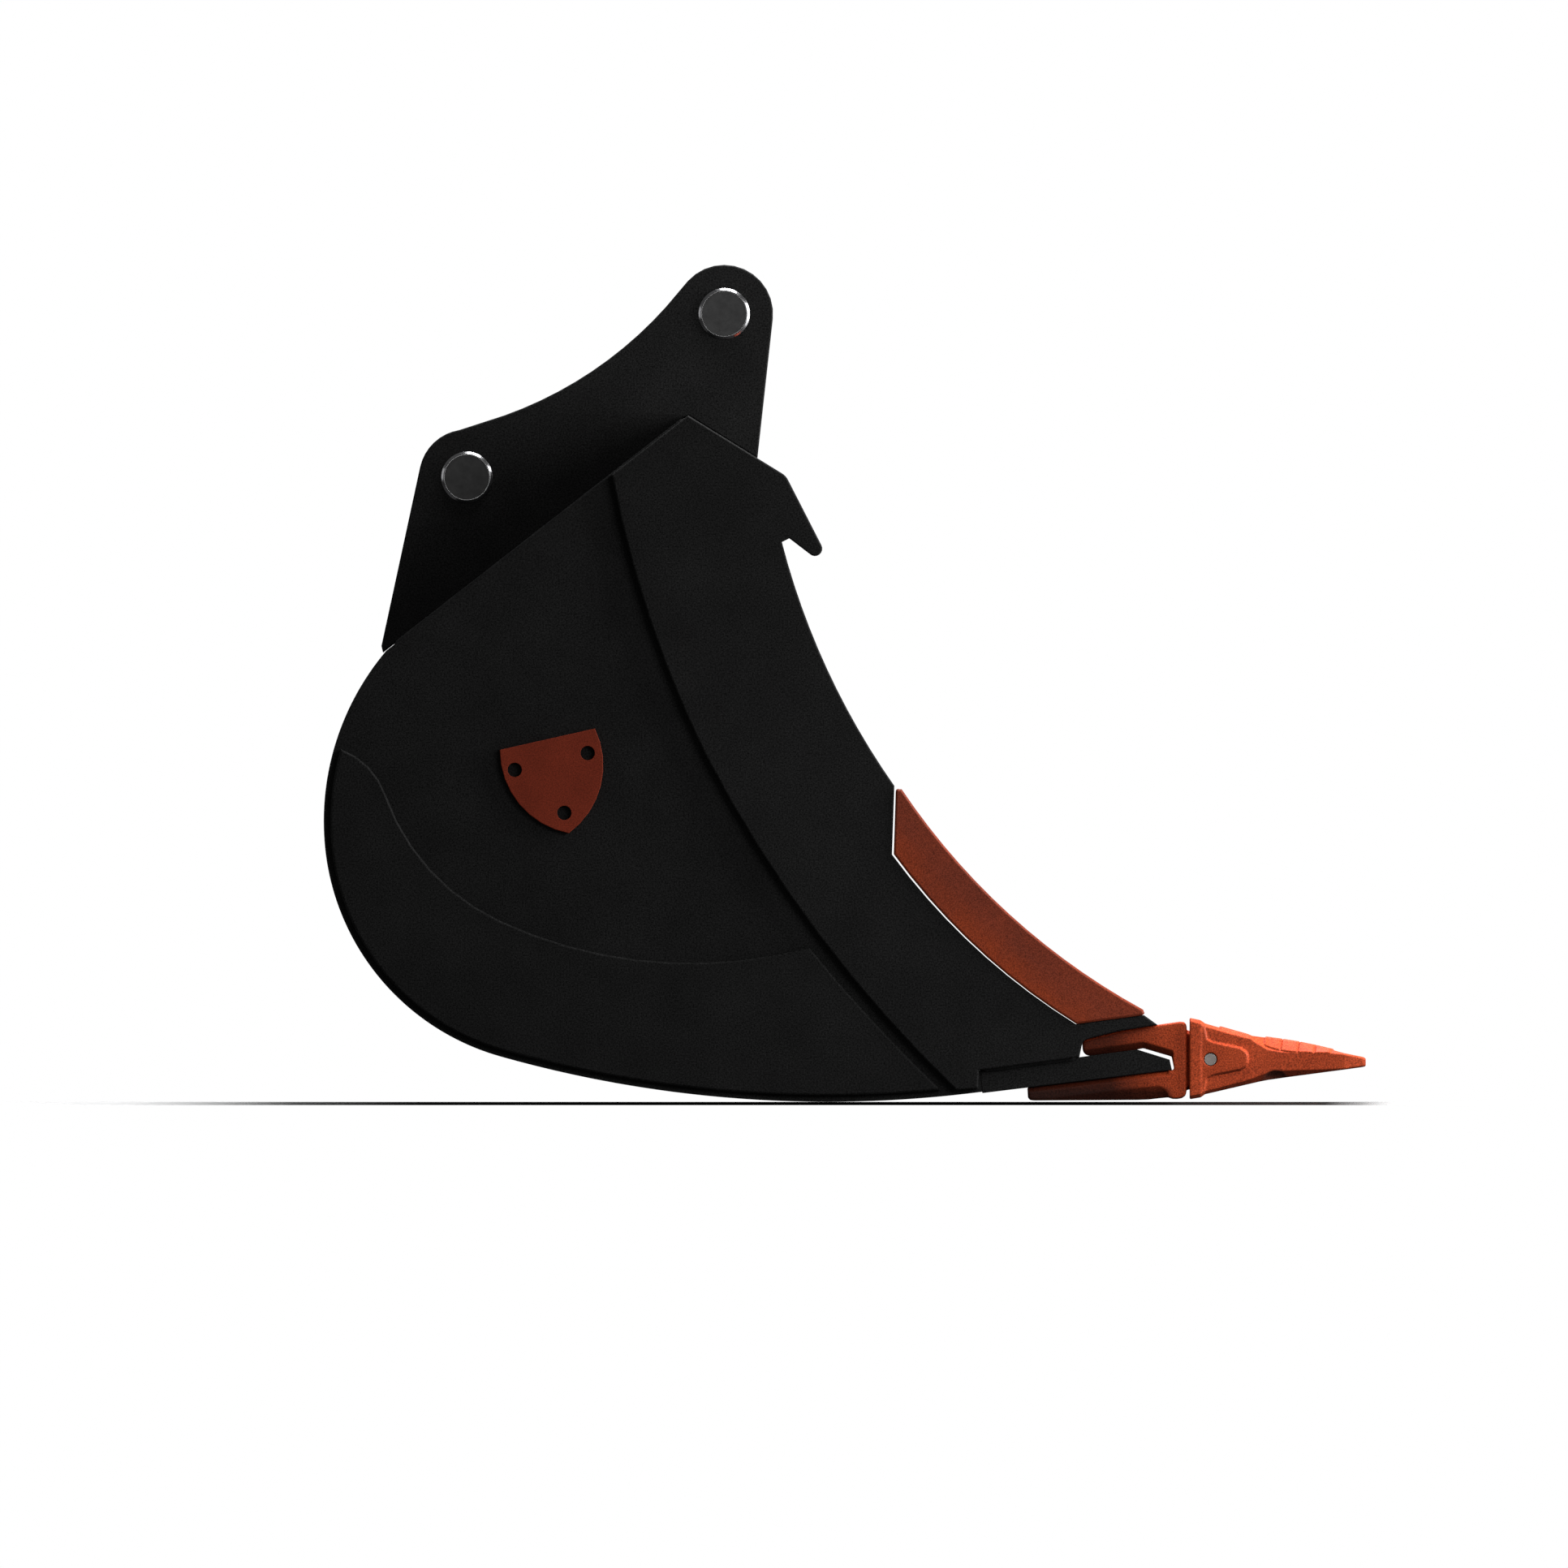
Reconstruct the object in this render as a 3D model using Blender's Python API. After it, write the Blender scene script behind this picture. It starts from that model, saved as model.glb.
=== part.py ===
"""An excavator digging bucket with five weld-on adapters, replaceable teeth and side cutters.

The bucket stands on its floor plate: +X towards the teeth, +Y across its width and +Z up, with
the origin below the middle of its bounding box. Outlines are drawn in millimetres in the X-Z
plane, as the bucket is seen from the side, and every solid is made in metres.
"""

import math

import bmesh
import bpy
from mathutils import Vector

MM = 0.001
FIT_GAP = 0.3  # between pieces that touch once welded or pressed together
WELD_ROOT = 2.2  # left at each end of the tie plate for its welds

# Width of the bucket and of what is spaced across it
BUCKET_WIDTH = 900.0
SIDE_THICKNESS = 20.0
BAR_THICKNESS = 14.0
HEEL_THICKNESS = 10.0
CUTTER_THICKNESS = 38.0
BADGE_THICKNESS = 8.0
EAR_GAP = 226.0
EAR_THICKNESS = 45.0
TOOTH_COUNT = 5
ADAPTER_WIDTH = 84.0
TOOTH_PITCH = (BUCKET_WIDTH - ADAPTER_WIDTH) / (TOOTH_COUNT - 1)

# The shell: floor, heel and rear are three arcs, each tangent to the next
SHELL_THICKNESS = 16.0
FLOOR_RADIUS = 1600.0
HEEL_RADIUS = 322.0
REAR_RADIUS = 351.0
FLOOR_CENTRE = (-22.7, FLOOR_RADIUS)
FLOOR_TO_HEEL = 254.2  # degrees round from +X where the arcs meet
HEEL_TO_REAR = 186.0
FLOOR_FRONT_X = 183.1
FLOOR_LOWEST = 270.0
RESTING_FLAT = (257.6, 266.6)  # the wide flat that the empty bucket rocks back onto
ROOF_REAR_Z = 600.0
MOUTH_TOP = (-86.0, 741.0)
CEILING_RADIUS = 230.0
CEILING_THICKNESS = 12.0
CEILING_END = 165.0  # degrees round the rear where the ceiling comes down on the shell

# The roof box over the shell, its hooked front edge and the mouth of the side plates
ROOF_PEAK = (-208.0, 913.0)
ROOF_BEND = (-78.0, 833.0)
BEND_RADIUS = 22.0
HOOK_TIP = (-39.4, 736.0)
HOOK_TIP_RADIUS = 9.8
MOUTH_CORNER = (-83.4, 744.8)
HOOK_NOTCH = (-73.4, 749.8)
MOUTH_BOTTOM = (66.3, 420.3)
MOUTH_RADIUS = 998.0

# The recess in the side for the side cutter, and the cutter's own edge
RECESS_CORNER = (63.1, 328.9)
RECESS_HEEL = (307.8, 103.1)
RECESS_TOE = (398.5, 115.2)
RECESS_BOW = 16.0
NOSE_END = (416.3, 102.4)
CUTTER_RADIUS = 915.7
CUTTER_CENTRE = (836.4, 926.1)
CUTTER_GAP = 2.6

# Ears and the two main pins
STICK_PIN = (-160.1, 1048.6)
LINK_PIN = (-502.5, 831.0)
STICK_EAR_RADIUS = 65.0
LINK_EAR_RADIUS = 63.6
SADDLE_CENTRE = (-629.1, 1408.3)  # of the hollow top edge between the pins
SADDLE_RADIUS = 525.6
PIN_RADIUS = 30.0
BUSH_BORE = 30.5
BUSH_RADIUS = 34.0
BUSH_PROUD = 4.0
PIN_PROUD = 3.0

# The cutting edge
LIP_REAR_TOP = (180.0, 41.6)
LIP_BEVEL = (389.5, 69.4)
LIP_NOSE_TOP = (432.6, 56.0)
LIP_NOSE_BOTTOM = (435.6, 42.4)
LIP_REAR_BOTTOM = (183.6, 11.6)
SHELL_END_SLANT = 1.9  # the shell's front end leans with the lip's rear face

# The adapters' upper strap, as the notch in each side fits over it
STRAP_TOP = ((320.0, 82.1), (328.9, 84.9), (366.7, 94.1))
STRAP_SEAM = 0.4
LOWER_STRAP = ((243.6, 18.6), (438.0, 42.3))  # its top, just under the lip

# Tooth, its pin and the retaining ring
TOOTH_REAR_X = 459.5
TOOTH_PIN = (487.1, 56.4)
TOOTH_PIN_RADIUS = 7.45
TOOTH_HOLE_RADIUS = 8.3
TOOTH_PIN_LENGTH = 92.0
RING_RADIUS = 12.5
RING_BORE = 8.0
RING_LENGTH = 8.0
RING_SEAT = 22.0  # how far off the tooth's middle the ring sits
NOSE_CLEARANCE = 0.8

COLOURS = {
    "black_paint": ((0.010, 0.010, 0.011), 0.62, 0.0),
    "red_casting": ((0.250, 0.038, 0.010), 0.55, 0.0),
    "red_cutter": ((0.130, 0.026, 0.016), 0.5, 0.0),
    "badge_red": ((0.115, 0.015, 0.007), 0.55, 0.0),
    "pin_steel": ((0.180, 0.180, 0.185), 0.35, 1.0),
    "bush_steel": ((0.620, 0.620, 0.640), 0.22, 1.0),
    "ring_rubber": ((0.020, 0.020, 0.020), 0.8, 0.0),
}


# ---------------------------------------------------------------- outlines

def polar(centre, radius, degrees):
    angle = math.radians(degrees)
    return centre[0] + radius * math.cos(angle), centre[1] + radius * math.sin(angle)


def turn(centre, radius, start, end, steps):
    """Points round a centre from one angle to another, both ends included."""
    return [polar(centre, radius, start + (end - start) * i / steps) for i in range(steps + 1)]


def bow(start, end, rise, steps):
    """Points after start up to end, on an arc that rises to the left of the straight way."""
    start, end = Vector(start), Vector(end)
    chord = end - start
    half = chord.length / 2
    left = Vector((-chord.y, chord.x)).normalized()
    radius = (half * half + rise * rise) / (2 * rise)
    centre = (start + end) / 2 + left * (rise - radius)
    first = math.degrees(math.atan2(start.y - centre.y, start.x - centre.x))
    sweep = -2 * math.degrees(math.asin(half / radius))
    return turn(centre, abs(radius), first, first + sweep, steps)[1:-1] + [tuple(end)]


def rise_of(start, end, radius):
    """How far an arc of this radius between two points stands off its chord."""
    half = math.dist(start, end) / 2
    return radius - math.sqrt(radius * radius - half * half)


def rounded(corner, before, after, radius, steps=4):
    """A corner between two straight runs, rounded to a radius."""
    corner, before, after = Vector(corner), Vector(before), Vector(after)
    into = (before - corner).normalized()
    out = (after - corner).normalized()
    half = into.angle(out) / 2
    run = radius / math.tan(half)
    centre = corner + (into + out).normalized() * (radius / math.sin(half))
    start = corner + into * run
    end = corner + out * run
    first = math.degrees(math.atan2(start.y - centre.y, start.x - centre.x))
    last = math.degrees(math.atan2(end.y - centre.y, end.x - centre.x))
    sweep = (last - first + 180) % 360 - 180
    return turn(centre, radius, first, first + sweep, steps)


def tangent_angle(point, centre, radius, side):
    """The angle round a circle where the line from a point touches it, on one side."""
    away = Vector(point) - Vector(centre)
    return math.degrees(math.atan2(away.y, away.x) + side * math.acos(radius / away.length))


def on_circle_at_z(centre, radius, z):
    """The point on a circle's -X side at this height."""
    return centre[0] - math.sqrt(radius ** 2 - (z - centre[1]) ** 2), z


def angle_at(centre, point):
    return math.degrees(math.atan2(point[1] - centre[1], point[0] - centre[0])) % 360


def along(start, end, distance):
    """The point at a distance from start on the way to end."""
    return tuple(Vector(start) + (Vector(end) - Vector(start)).normalized() * distance)


def beside(start, end, distance):
    """Both points of a line, moved to its left."""
    way = (Vector(end) - Vector(start)).normalized()
    left = Vector((-way.y, way.x)) * distance
    return tuple(Vector(start) + left), tuple(Vector(end) + left)


def crossing(line_a, line_b):
    """Where two lines, each given by two points, meet."""
    p, q = Vector(line_a[0]), Vector(line_b[0])
    r, s = Vector(line_a[1]) - p, Vector(line_b[1]) - q
    reach = (q - p).cross(s) / r.cross(s)
    return tuple(p + r * reach)


HEEL_CENTRE = polar(FLOOR_CENTRE, FLOOR_RADIUS - HEEL_RADIUS, FLOOR_TO_HEEL)
REAR_CENTRE = polar(HEEL_CENTRE, HEEL_RADIUS - REAR_RADIUS, HEEL_TO_REAR)
ROOF_REAR = on_circle_at_z(REAR_CENTRE, REAR_RADIUS, ROOF_REAR_Z)


def shell_arcs(inset, rear_angle, front_x, floor_corners=RESTING_FLAT):
    """The shell's curve from a point up its rear round to its front end, moved inwards."""
    floor_radius = FLOOR_RADIUS - inset
    front = FLOOR_LOWEST + math.degrees(math.asin((front_x - FLOOR_CENTRE[0]) / floor_radius))
    floor_turns = [*floor_corners, FLOOR_LOWEST, (FLOOR_LOWEST + front) / 2, front]
    return (
        turn(REAR_CENTRE, REAR_RADIUS - inset, rear_angle, HEEL_TO_REAR, 10)
        + turn(HEEL_CENTRE, HEEL_RADIUS - inset, HEEL_TO_REAR, FLOOR_TO_HEEL, 14)[1:]
        + [polar(FLOOR_CENTRE, floor_radius, degrees) for degrees in floor_turns]
    )


def hook_and_mouth():
    """From the roof's peak down over the hooked edge to the start of the mouth's curve."""
    bend_out = polar(HOOK_TIP, HOOK_TIP_RADIUS, 28)
    return (
        [ROOF_PEAK] + rounded(ROOF_BEND, ROOF_PEAK, bend_out, BEND_RADIUS)
        + turn(HOOK_TIP, HOOK_TIP_RADIUS, 28, -135, 8)
        + [HOOK_NOTCH, MOUTH_CORNER]
    )


def lip_top_at(x, gap):
    """A point over the lip's top face."""
    part = (x - LIP_REAR_TOP[0]) / (LIP_BEVEL[0] - LIP_REAR_TOP[0])
    return x, LIP_REAR_TOP[1] + part * (LIP_BEVEL[1] - LIP_REAR_TOP[1]) + gap


def front_edge():
    """The side's front: hook, mouth, the cutter's recess, the nose and the notch for the strap."""
    mouth_rise = rise_of(MOUTH_CORNER, MOUTH_BOTTOM, MOUTH_RADIUS)
    over_strap = [(x, z + STRAP_SEAM) for x, z in reversed(STRAP_TOP)]
    beside_strap = [(317.2, 79.9), (316.2, 76.6), (315.2, 73.0)]
    return (
        hook_and_mouth()
        + bow(MOUTH_CORNER, MOUTH_BOTTOM, -mouth_rise, 12)
        + [RECESS_CORNER]
        + bow(RECESS_CORNER, RECESS_HEEL, -RECESS_BOW, 9)
        + [RECESS_TOE, NOSE_END] + over_strap + beside_strap
        + [lip_top_at(312.5, FIT_GAP)]
    )


def side_outline():
    """The cheek: roof, front edge, lip and the shell's curve round the back."""
    shell = shell_arcs(0, angle_at(REAR_CENTRE, ROOF_REAR), FLOOR_FRONT_X)
    return front_edge() + [lip_top_at(LIP_REAR_TOP[0] - FIT_GAP, FIT_GAP)] + shell[::-1]


def bar_outline():
    """The raised bar along the mouth, from the roof's peak down to the lip."""
    waist = (-184.1, 459.5)
    foot = (148.5, 15.7)
    top = (-309.4, 834.4)
    return (
        front_edge()
        + [lip_top_at(178.6, FIT_GAP), (177.7, 17.6), foot]
        + bow(foot, waist, 22.7, 8) + bow(waist, top, 13.5, 6)
    )


def cutter_outline():
    """The side cutter: straight back edge, hollow inner edge and the cutting arc, blunt at both ends."""
    back = (RECESS_CORNER[0] + CUTTER_GAP, RECESS_CORNER[1] + 0.5)
    heel = (RECESS_HEEL[0] + 1.0, RECESS_HEEL[1] + 0.45)
    toe_low = (RECESS_TOE[0] - 2.2, RECESS_TOE[1])
    toe_high = (399.3, 117.6)
    tip_height = 413.0
    tip_radius = 3.3
    arc_from = on_circle_at_z(CUTTER_CENTRE, CUTTER_RADIUS, toe_high[1] + 4.9)
    arc_to = on_circle_at_z(CUTTER_CENTRE, CUTTER_RADIUS, tip_height + 3.0)
    start, end = angle_at(CUTTER_CENTRE, arc_from), angle_at(CUTTER_CENTRE, arc_to)
    tip = (MOUTH_BOTTOM[0] + CUTTER_GAP * 0.75 + tip_radius, tip_height)
    return (
        [back] + bow(back, heel, -RECESS_BOW, 9) + [toe_low, toe_high]
        + turn(CUTTER_CENTRE, CUTTER_RADIUS, start, end, 14)
        + turn(tip, tip_radius, 62, 175, 4)
    )


def heel_outline():
    """The wear plate over the heel, just inside the shell's curve."""
    inset = 8.6
    floor_corners = (257.0, 259.6, 262.2, 264.8, 267.4)
    tip = on_circle_at_z(REAR_CENTRE, REAR_RADIUS - inset, 469.3)
    shoulder = (-610.7, 408.8)
    middle = (-457.4, 240.3)
    front_top = (-47.0, 205.5)
    front_low = (128.0, 16.4)
    top = bow(tip, shoulder, 9.7, 4) + bow(shoulder, middle, -23.2, 6) + bow(middle, front_top, -36.2, 9)
    bottom = shell_arcs(inset, angle_at(REAR_CENTRE, tip), front_low[0], floor_corners)
    return top + bow(front_top, front_low, -4.3, 4)[:-1] + bottom[::-1]


def ear_outline():
    """An ear: round over both pins, hollow between them, standing on the roof."""
    foot_rear = (-616.1, 606.4)
    foot_front = (-116.1, 858.6)
    roof_rear, roof_peak = beside(ROOF_REAR, ROOF_PEAK, FIT_GAP)
    peak_front, bend = beside(ROOF_PEAK, ROOF_BEND, FIT_GAP)
    ridge = crossing((roof_rear, roof_peak), (peak_front, bend))
    toe = crossing((peak_front, bend), (foot_front, (foot_front[0] + 0.11, foot_front[1] - 1)))
    stick_start = tangent_angle(toe, STICK_PIN, STICK_EAR_RADIUS, 1)
    link_end = tangent_angle(foot_rear, LINK_PIN, LINK_EAR_RADIUS, -1)
    saddle_in = angle_at(SADDLE_CENTRE, STICK_PIN)
    saddle_out = angle_at(SADDLE_CENTRE, LINK_PIN)
    return (
        turn(STICK_PIN, STICK_EAR_RADIUS, stick_start, 138, 12)
        + turn(SADDLE_CENTRE, SADDLE_RADIUS, saddle_in - 1.5, saddle_out + 4.4, 12)
        + turn(LINK_PIN, LINK_EAR_RADIUS, 99, link_end % 360, 8)
        + [foot_rear, (-614.0, 597.6), ridge, toe]
    )


# ---------------------------------------------------------------- solids

def clear_scene():
    for obj in list(bpy.data.objects):
        bpy.data.objects.remove(obj, do_unlink=True)


def material(name):
    found = bpy.data.materials.get(name)
    if found:
        return found
    colour, roughness, metallic = COLOURS[name]
    made = bpy.data.materials.new(name)
    made.use_nodes = True
    shader = made.node_tree.nodes["Principled BSDF"]
    shader.inputs["Base Color"].default_value = (*colour, 1)
    shader.inputs["Roughness"].default_value = roughness
    shader.inputs["Metallic"].default_value = metallic
    made.diffuse_color = (*colour, 1)
    return made


def new_object(name, mesh, slot=None):
    obj = bpy.data.objects.new(name, mesh)
    bpy.context.scene.collection.objects.link(obj)
    if slot:
        mesh.materials.append(material(slot))
    return obj


def finish_mesh(shape, name):
    bmesh.ops.recalc_face_normals(shape, faces=shape.faces)
    mesh = bpy.data.meshes.new(name)
    shape.to_mesh(mesh)
    shape.free()
    return mesh


def distinct(outline, least=0.05):
    """The outline without points that repeat the one before."""
    kept = []
    for point in outline:
        if not kept or math.dist(point, kept[-1]) > least:
            kept.append(tuple(point))
    if math.dist(kept[0], kept[-1]) <= least:
        kept.pop()
    return kept


def lies_at(edge, y):
    return all(abs(vert.co.y - y) < 1e-7 for vert in edge.verts)


def prism(name, outline, y_start, y_end, slot=None, chamfer=0.0):
    """An outline in X-Z carried across from one Y to another, its face edges chamfered."""
    shape = bmesh.new()
    corners = [shape.verts.new((x * MM, y_start * MM, z * MM)) for x, z in distinct(outline)]
    face = shape.faces.new(corners)
    carried = bmesh.ops.extrude_face_region(shape, geom=[face])
    moved = [item for item in carried["geom"] if isinstance(item, bmesh.types.BMVert)]
    bmesh.ops.translate(shape, verts=moved, vec=(0, (y_end - y_start) * MM, 0))
    if chamfer:
        ends = (y_start * MM, y_end * MM)
        rim = [edge for edge in shape.edges if any(lies_at(edge, y) for y in ends)]
        width = chamfer * MM
        bmesh.ops.bevel(shape, geom=rim, offset=width, segments=1, affect="EDGES", clamp_overlap=True)
    return new_object(name, finish_mesh(shape, name), slot)


def turned(name, profile, centre, slot=None, steps=36):
    """A profile of (radius, y) points spun round a line across the bucket."""
    shape = bmesh.new()
    rings = []
    for radius, y in profile:
        ring = []
        for i in range(steps):
            angle = 2 * math.pi * i / steps
            x = centre[0] + radius * math.cos(angle)
            z = centre[1] + radius * math.sin(angle)
            ring.append(shape.verts.new((x * MM, y * MM, z * MM)))
        rings.append(ring)
    closed = profile[0] == profile[-1]
    if closed:
        for vert in rings.pop():
            shape.verts.remove(vert)
        rings.append(rings[0])
    for near, far in zip(rings, rings[1:]):
        for i in range(steps):
            j = (i + 1) % steps
            shape.faces.new((near[i], near[j], far[j], far[i]))
    if not closed:
        shape.faces.new(rings[0])
        shape.faces.new(rings[-1])
    return new_object(name, finish_mesh(shape, name), slot)


def cut(target, *cutters, operation="DIFFERENCE"):
    """Booleans the cutters into the target and drops them."""
    for cutter in cutters:
        change = target.modifiers.new("cut", "BOOLEAN")
        change.operation = operation
        change.object = cutter
        change.solver = "EXACT"
    bpy.context.view_layer.update()
    graph = bpy.context.evaluated_depsgraph_get()
    mesh = bpy.data.meshes.new_from_object(target.evaluated_get(graph))
    target.modifiers.clear()
    target.data = mesh
    for cutter in cutters:
        bpy.data.objects.remove(cutter, do_unlink=True)
    return target


def join(target, *others):
    return cut(target, *others, operation="UNION")


def smooth(obj, degrees=35):
    for face in obj.data.polygons:
        face.use_smooth = True
    obj.data.set_sharp_from_angle(angle=math.radians(degrees))
    return obj


def loft(name, sections):
    """A closed solid through rings of points, all with the same count."""
    shape = bmesh.new()
    rings = [[shape.verts.new((x * MM, y * MM, z * MM)) for x, y, z in ring] for ring in sections]
    count = len(rings[0])
    for near, far in zip(rings, rings[1:]):
        for i in range(count):
            j = (i + 1) % count
            shape.faces.new((near[i], near[j], far[j], far[i]))
    shape.faces.new(rings[0])
    shape.faces.new(rings[-1])
    return new_object(name, finish_mesh(shape, name))


# ---------------------------------------------------------------- the fabricated bucket

def both_sides(name, outline, inner, thickness, slot, chamfer):
    """A plate and its mirror image, on either side of the bucket."""
    for side, sign in (("left", -1), ("right", 1)):
        y_start = sign * inner
        smooth(prism(f"{name}_{side}", outline, y_start, y_start + sign * thickness, slot, chamfer))


def build_shell():
    """Roof slope, rear, heel and floor in one rolled plate."""
    rear_angle = angle_at(REAR_CENTRE, ROOF_REAR)
    outer = shell_arcs(0, rear_angle, FLOOR_FRONT_X)
    slope_inner = beside(ROOF_PEAK, ROOF_REAR, SHELL_THICKNESS)
    front_inner = beside(ROOF_PEAK, ROOF_BEND, -SHELL_THICKNESS)
    mitre = crossing(slope_inner, front_inner)
    corner = polar(REAR_CENTRE, REAR_RADIUS - SHELL_THICKNESS, rear_angle)
    inner = [mitre, (corner[0] + 1.5, corner[1] - 1.0)]
    inner += shell_arcs(SHELL_THICKNESS, rear_angle + 1.0, FLOOR_FRONT_X - SHELL_END_SLANT)
    prism_inside("shell_plate", [along(ROOF_PEAK, ROOF_REAR, FIT_GAP)] + outer + inner[::-1])
    build_roof_front(mitre)
    build_ceiling()


def build_roof_front(mitre):
    """The roof's front slope, bent down into the hooked edge over the mouth."""
    hook_front = polar(HOOK_TIP, HOOK_TIP_RADIUS - FIT_GAP, 28)
    slope_inner = beside(ROOF_PEAK, ROOF_BEND, -SHELL_THICKNESS)
    hook_inner = beside(ROOF_BEND, hook_front, -SHELL_THICKNESS)
    outline = [along(ROOF_PEAK, ROOF_BEND, FIT_GAP)]
    outline += rounded(ROOF_BEND, ROOF_PEAK, hook_front, BEND_RADIUS)
    outline += turn(HOOK_TIP, HOOK_TIP_RADIUS - FIT_GAP, 28, -150, 8)
    outline += [crossing(slope_inner, hook_inner), (mitre[0] + 2 * FIT_GAP, mitre[1])]
    prism_inside("roof_front_plate", outline)


def build_ceiling():
    """The bucket's ceiling: from the mouth straight back, then curved down onto the shell."""
    reach = REAR_RADIUS - SHELL_THICKNESS - 2 * FIT_GAP - CEILING_RADIUS
    centre = polar(REAR_CENTRE, reach, CEILING_END)
    start = tangent_angle(MOUTH_TOP, centre, CEILING_RADIUS, 1)
    outer = turn(centre, CEILING_RADIUS, start, CEILING_END, 10)
    inner = turn(centre, CEILING_RADIUS - CEILING_THICKNESS, start, CEILING_END + 3, 10)
    mouth_inner = tuple(Vector(MOUTH_TOP) + Vector(inner[0]) - Vector(outer[0]))
    prism_inside("ceiling_plate", [MOUTH_TOP] + outer + inner[::-1] + [mouth_inner])


def prism_inside(name, outline):
    """A plate that spans the bucket between the side plates."""
    half = BUCKET_WIDTH / 2 - SIDE_THICKNESS - FIT_GAP
    smooth(prism(name, outline, -half, half, "black_paint"))


def build_lip():
    half = BUCKET_WIDTH / 2
    outline = [LIP_REAR_TOP, LIP_BEVEL, LIP_NOSE_TOP, LIP_NOSE_BOTTOM, LIP_REAR_BOTTOM]
    smooth(prism("lip_plate", outline, -half, half, "black_paint", 0.8))


def build_ears():
    """Two ears with their bushes, and the tie plate between them."""
    inner = EAR_GAP / 2
    outer = inner + EAR_THICKNESS
    for side, sign in (("left", -1), ("right", 1)):
        ear = prism(f"ear_{side}", ear_outline(), sign * inner, sign * outer, "black_paint", 1.5)
        reach = (sign * (inner - 20), sign * (outer + 20))
        hole = BUSH_RADIUS + FIT_GAP
        bores = [turned("bore", [(hole, y) for y in reach], pin) for pin in (STICK_PIN, LINK_PIN)]
        smooth(cut(ear, *bores))
        for name, pin in (("stick_bush", STICK_PIN), ("link_bush", LINK_PIN)):
            build_bush(f"{name}_{side}", pin, sign * inner, sign * (outer + BUSH_PROUD), sign)


def build_bush(name, pin, y_inner, y_outer, sign):
    """A pressed-in bush, its bore opened by a bevel at the outer end."""
    bevel = 2.6
    profile = [
        (BUSH_BORE, y_inner), (BUSH_RADIUS, y_inner), (BUSH_RADIUS, y_outer - sign * 1.0),
        (BUSH_RADIUS - 0.6, y_outer), (BUSH_BORE + bevel - 1.0, y_outer),
        (BUSH_BORE, y_outer - sign * bevel), (BUSH_BORE, y_inner),
    ]
    smooth(turned(name, profile, pin, "bush_steel"), 30)


def build_tie_plate():
    """The cross plate that ties the ears together over the roof's rear slope."""
    roof = beside(ROOF_REAR, ROOF_PEAK, 2 * FIT_GAP)
    from_rear = 345.0
    thickness = 16.0
    height = 105.0
    foot = along(roof[0], roof[1], from_rear)
    heel = along(roof[0], roof[1], from_rear + thickness)
    upright = Vector(beside(ROOF_REAR, ROOF_PEAK, height)[0]) - Vector(ROOF_REAR)
    outline = [foot, heel, tuple(Vector(heel) + upright), tuple(Vector(foot) + upright)]
    inside = EAR_GAP / 2 - WELD_ROOT
    smooth(prism("ear_tie_plate", outline, -inside, inside, "black_paint"))


def build_main_pin(name, pin):
    """A bucket pin: plain bar, bevelled at both ends, just proud of the bushes."""
    half = EAR_GAP / 2 + EAR_THICKNESS + PIN_PROUD
    bevel = 2.0
    profile = [(PIN_RADIUS - bevel, -half), (PIN_RADIUS, -half + bevel), (PIN_RADIUS, half - bevel),
               (PIN_RADIUS - bevel, half)]
    smooth(turned(name, profile, pin, "pin_steel"), 30)


def build_badges():
    """A plain plate with a straight top, bowed sides, a pointed foot and three holes, on each cheek."""
    top_rear, top_front, foot = (-458.5, 468.1), (-332.3, 496.5), (-366.9, 357.4)
    bulge = 26.0
    hole_radius = 9.8
    middles = ((-438.9, 441.6), (-341.8, 464.0), (-372.9, 384.4))
    outline = [top_rear] + bow(top_rear, foot, -bulge, 8) + bow(foot, top_front, -bulge, 8)
    for side, sign in (("left", -1), ("right", 1)):
        start = sign * (BUCKET_WIDTH / 2 + FIT_GAP)
        end = start + sign * BADGE_THICKNESS
        badge = prism(f"badge_{side}", outline, start, end, "badge_red", 0.5)
        drill = [(hole_radius, start - sign * 5), (hole_radius, end + sign * 5)]
        holes = [turned("hole", drill, middle, steps=18) for middle in middles]
        smooth(cut(badge, *holes))


# ---------------------------------------------------------------- adapters, teeth and their pins

def strap_outline():
    """The adapter's body: two straps that fork over the lip, and the block in front of it."""
    heel_radius = 9.4
    heel = (326.5, lip_top_at(326.5, FIT_GAP)[1] + heel_radius)
    upper_end = turn(heel, heel_radius, 270, 180, 5) + [(316.6, 76.5), (317.6, 79.8)]
    block_top = [(416.9, 102.2), (446.0, 106.4), (451.4, 106.0), (454.2, 103.4), (455.2, 99.5)]
    block_foot = [(454.8, 13.0), (453.4, 8.2), (449.0, 5.0), (442.8, 3.9), (436.6, 4.0), (430.5, 6.0)]
    sole = [(421.2, 5.1), (404.0, 3.2), (388.8, 2.7), (252.0, 1.9)]
    lower_end = [(247.0, 2.6), (244.4, 5.6)]
    throat = [LOWER_STRAP[1], (438.6, 45.0), (435.6, 60.3), (397.5, 71.4), lip_top_at(388.5, FIT_GAP)]
    return upper_end + [*STRAP_TOP] + block_top + block_foot + sole + lower_end + [LOWER_STRAP[0]] + throat


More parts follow.
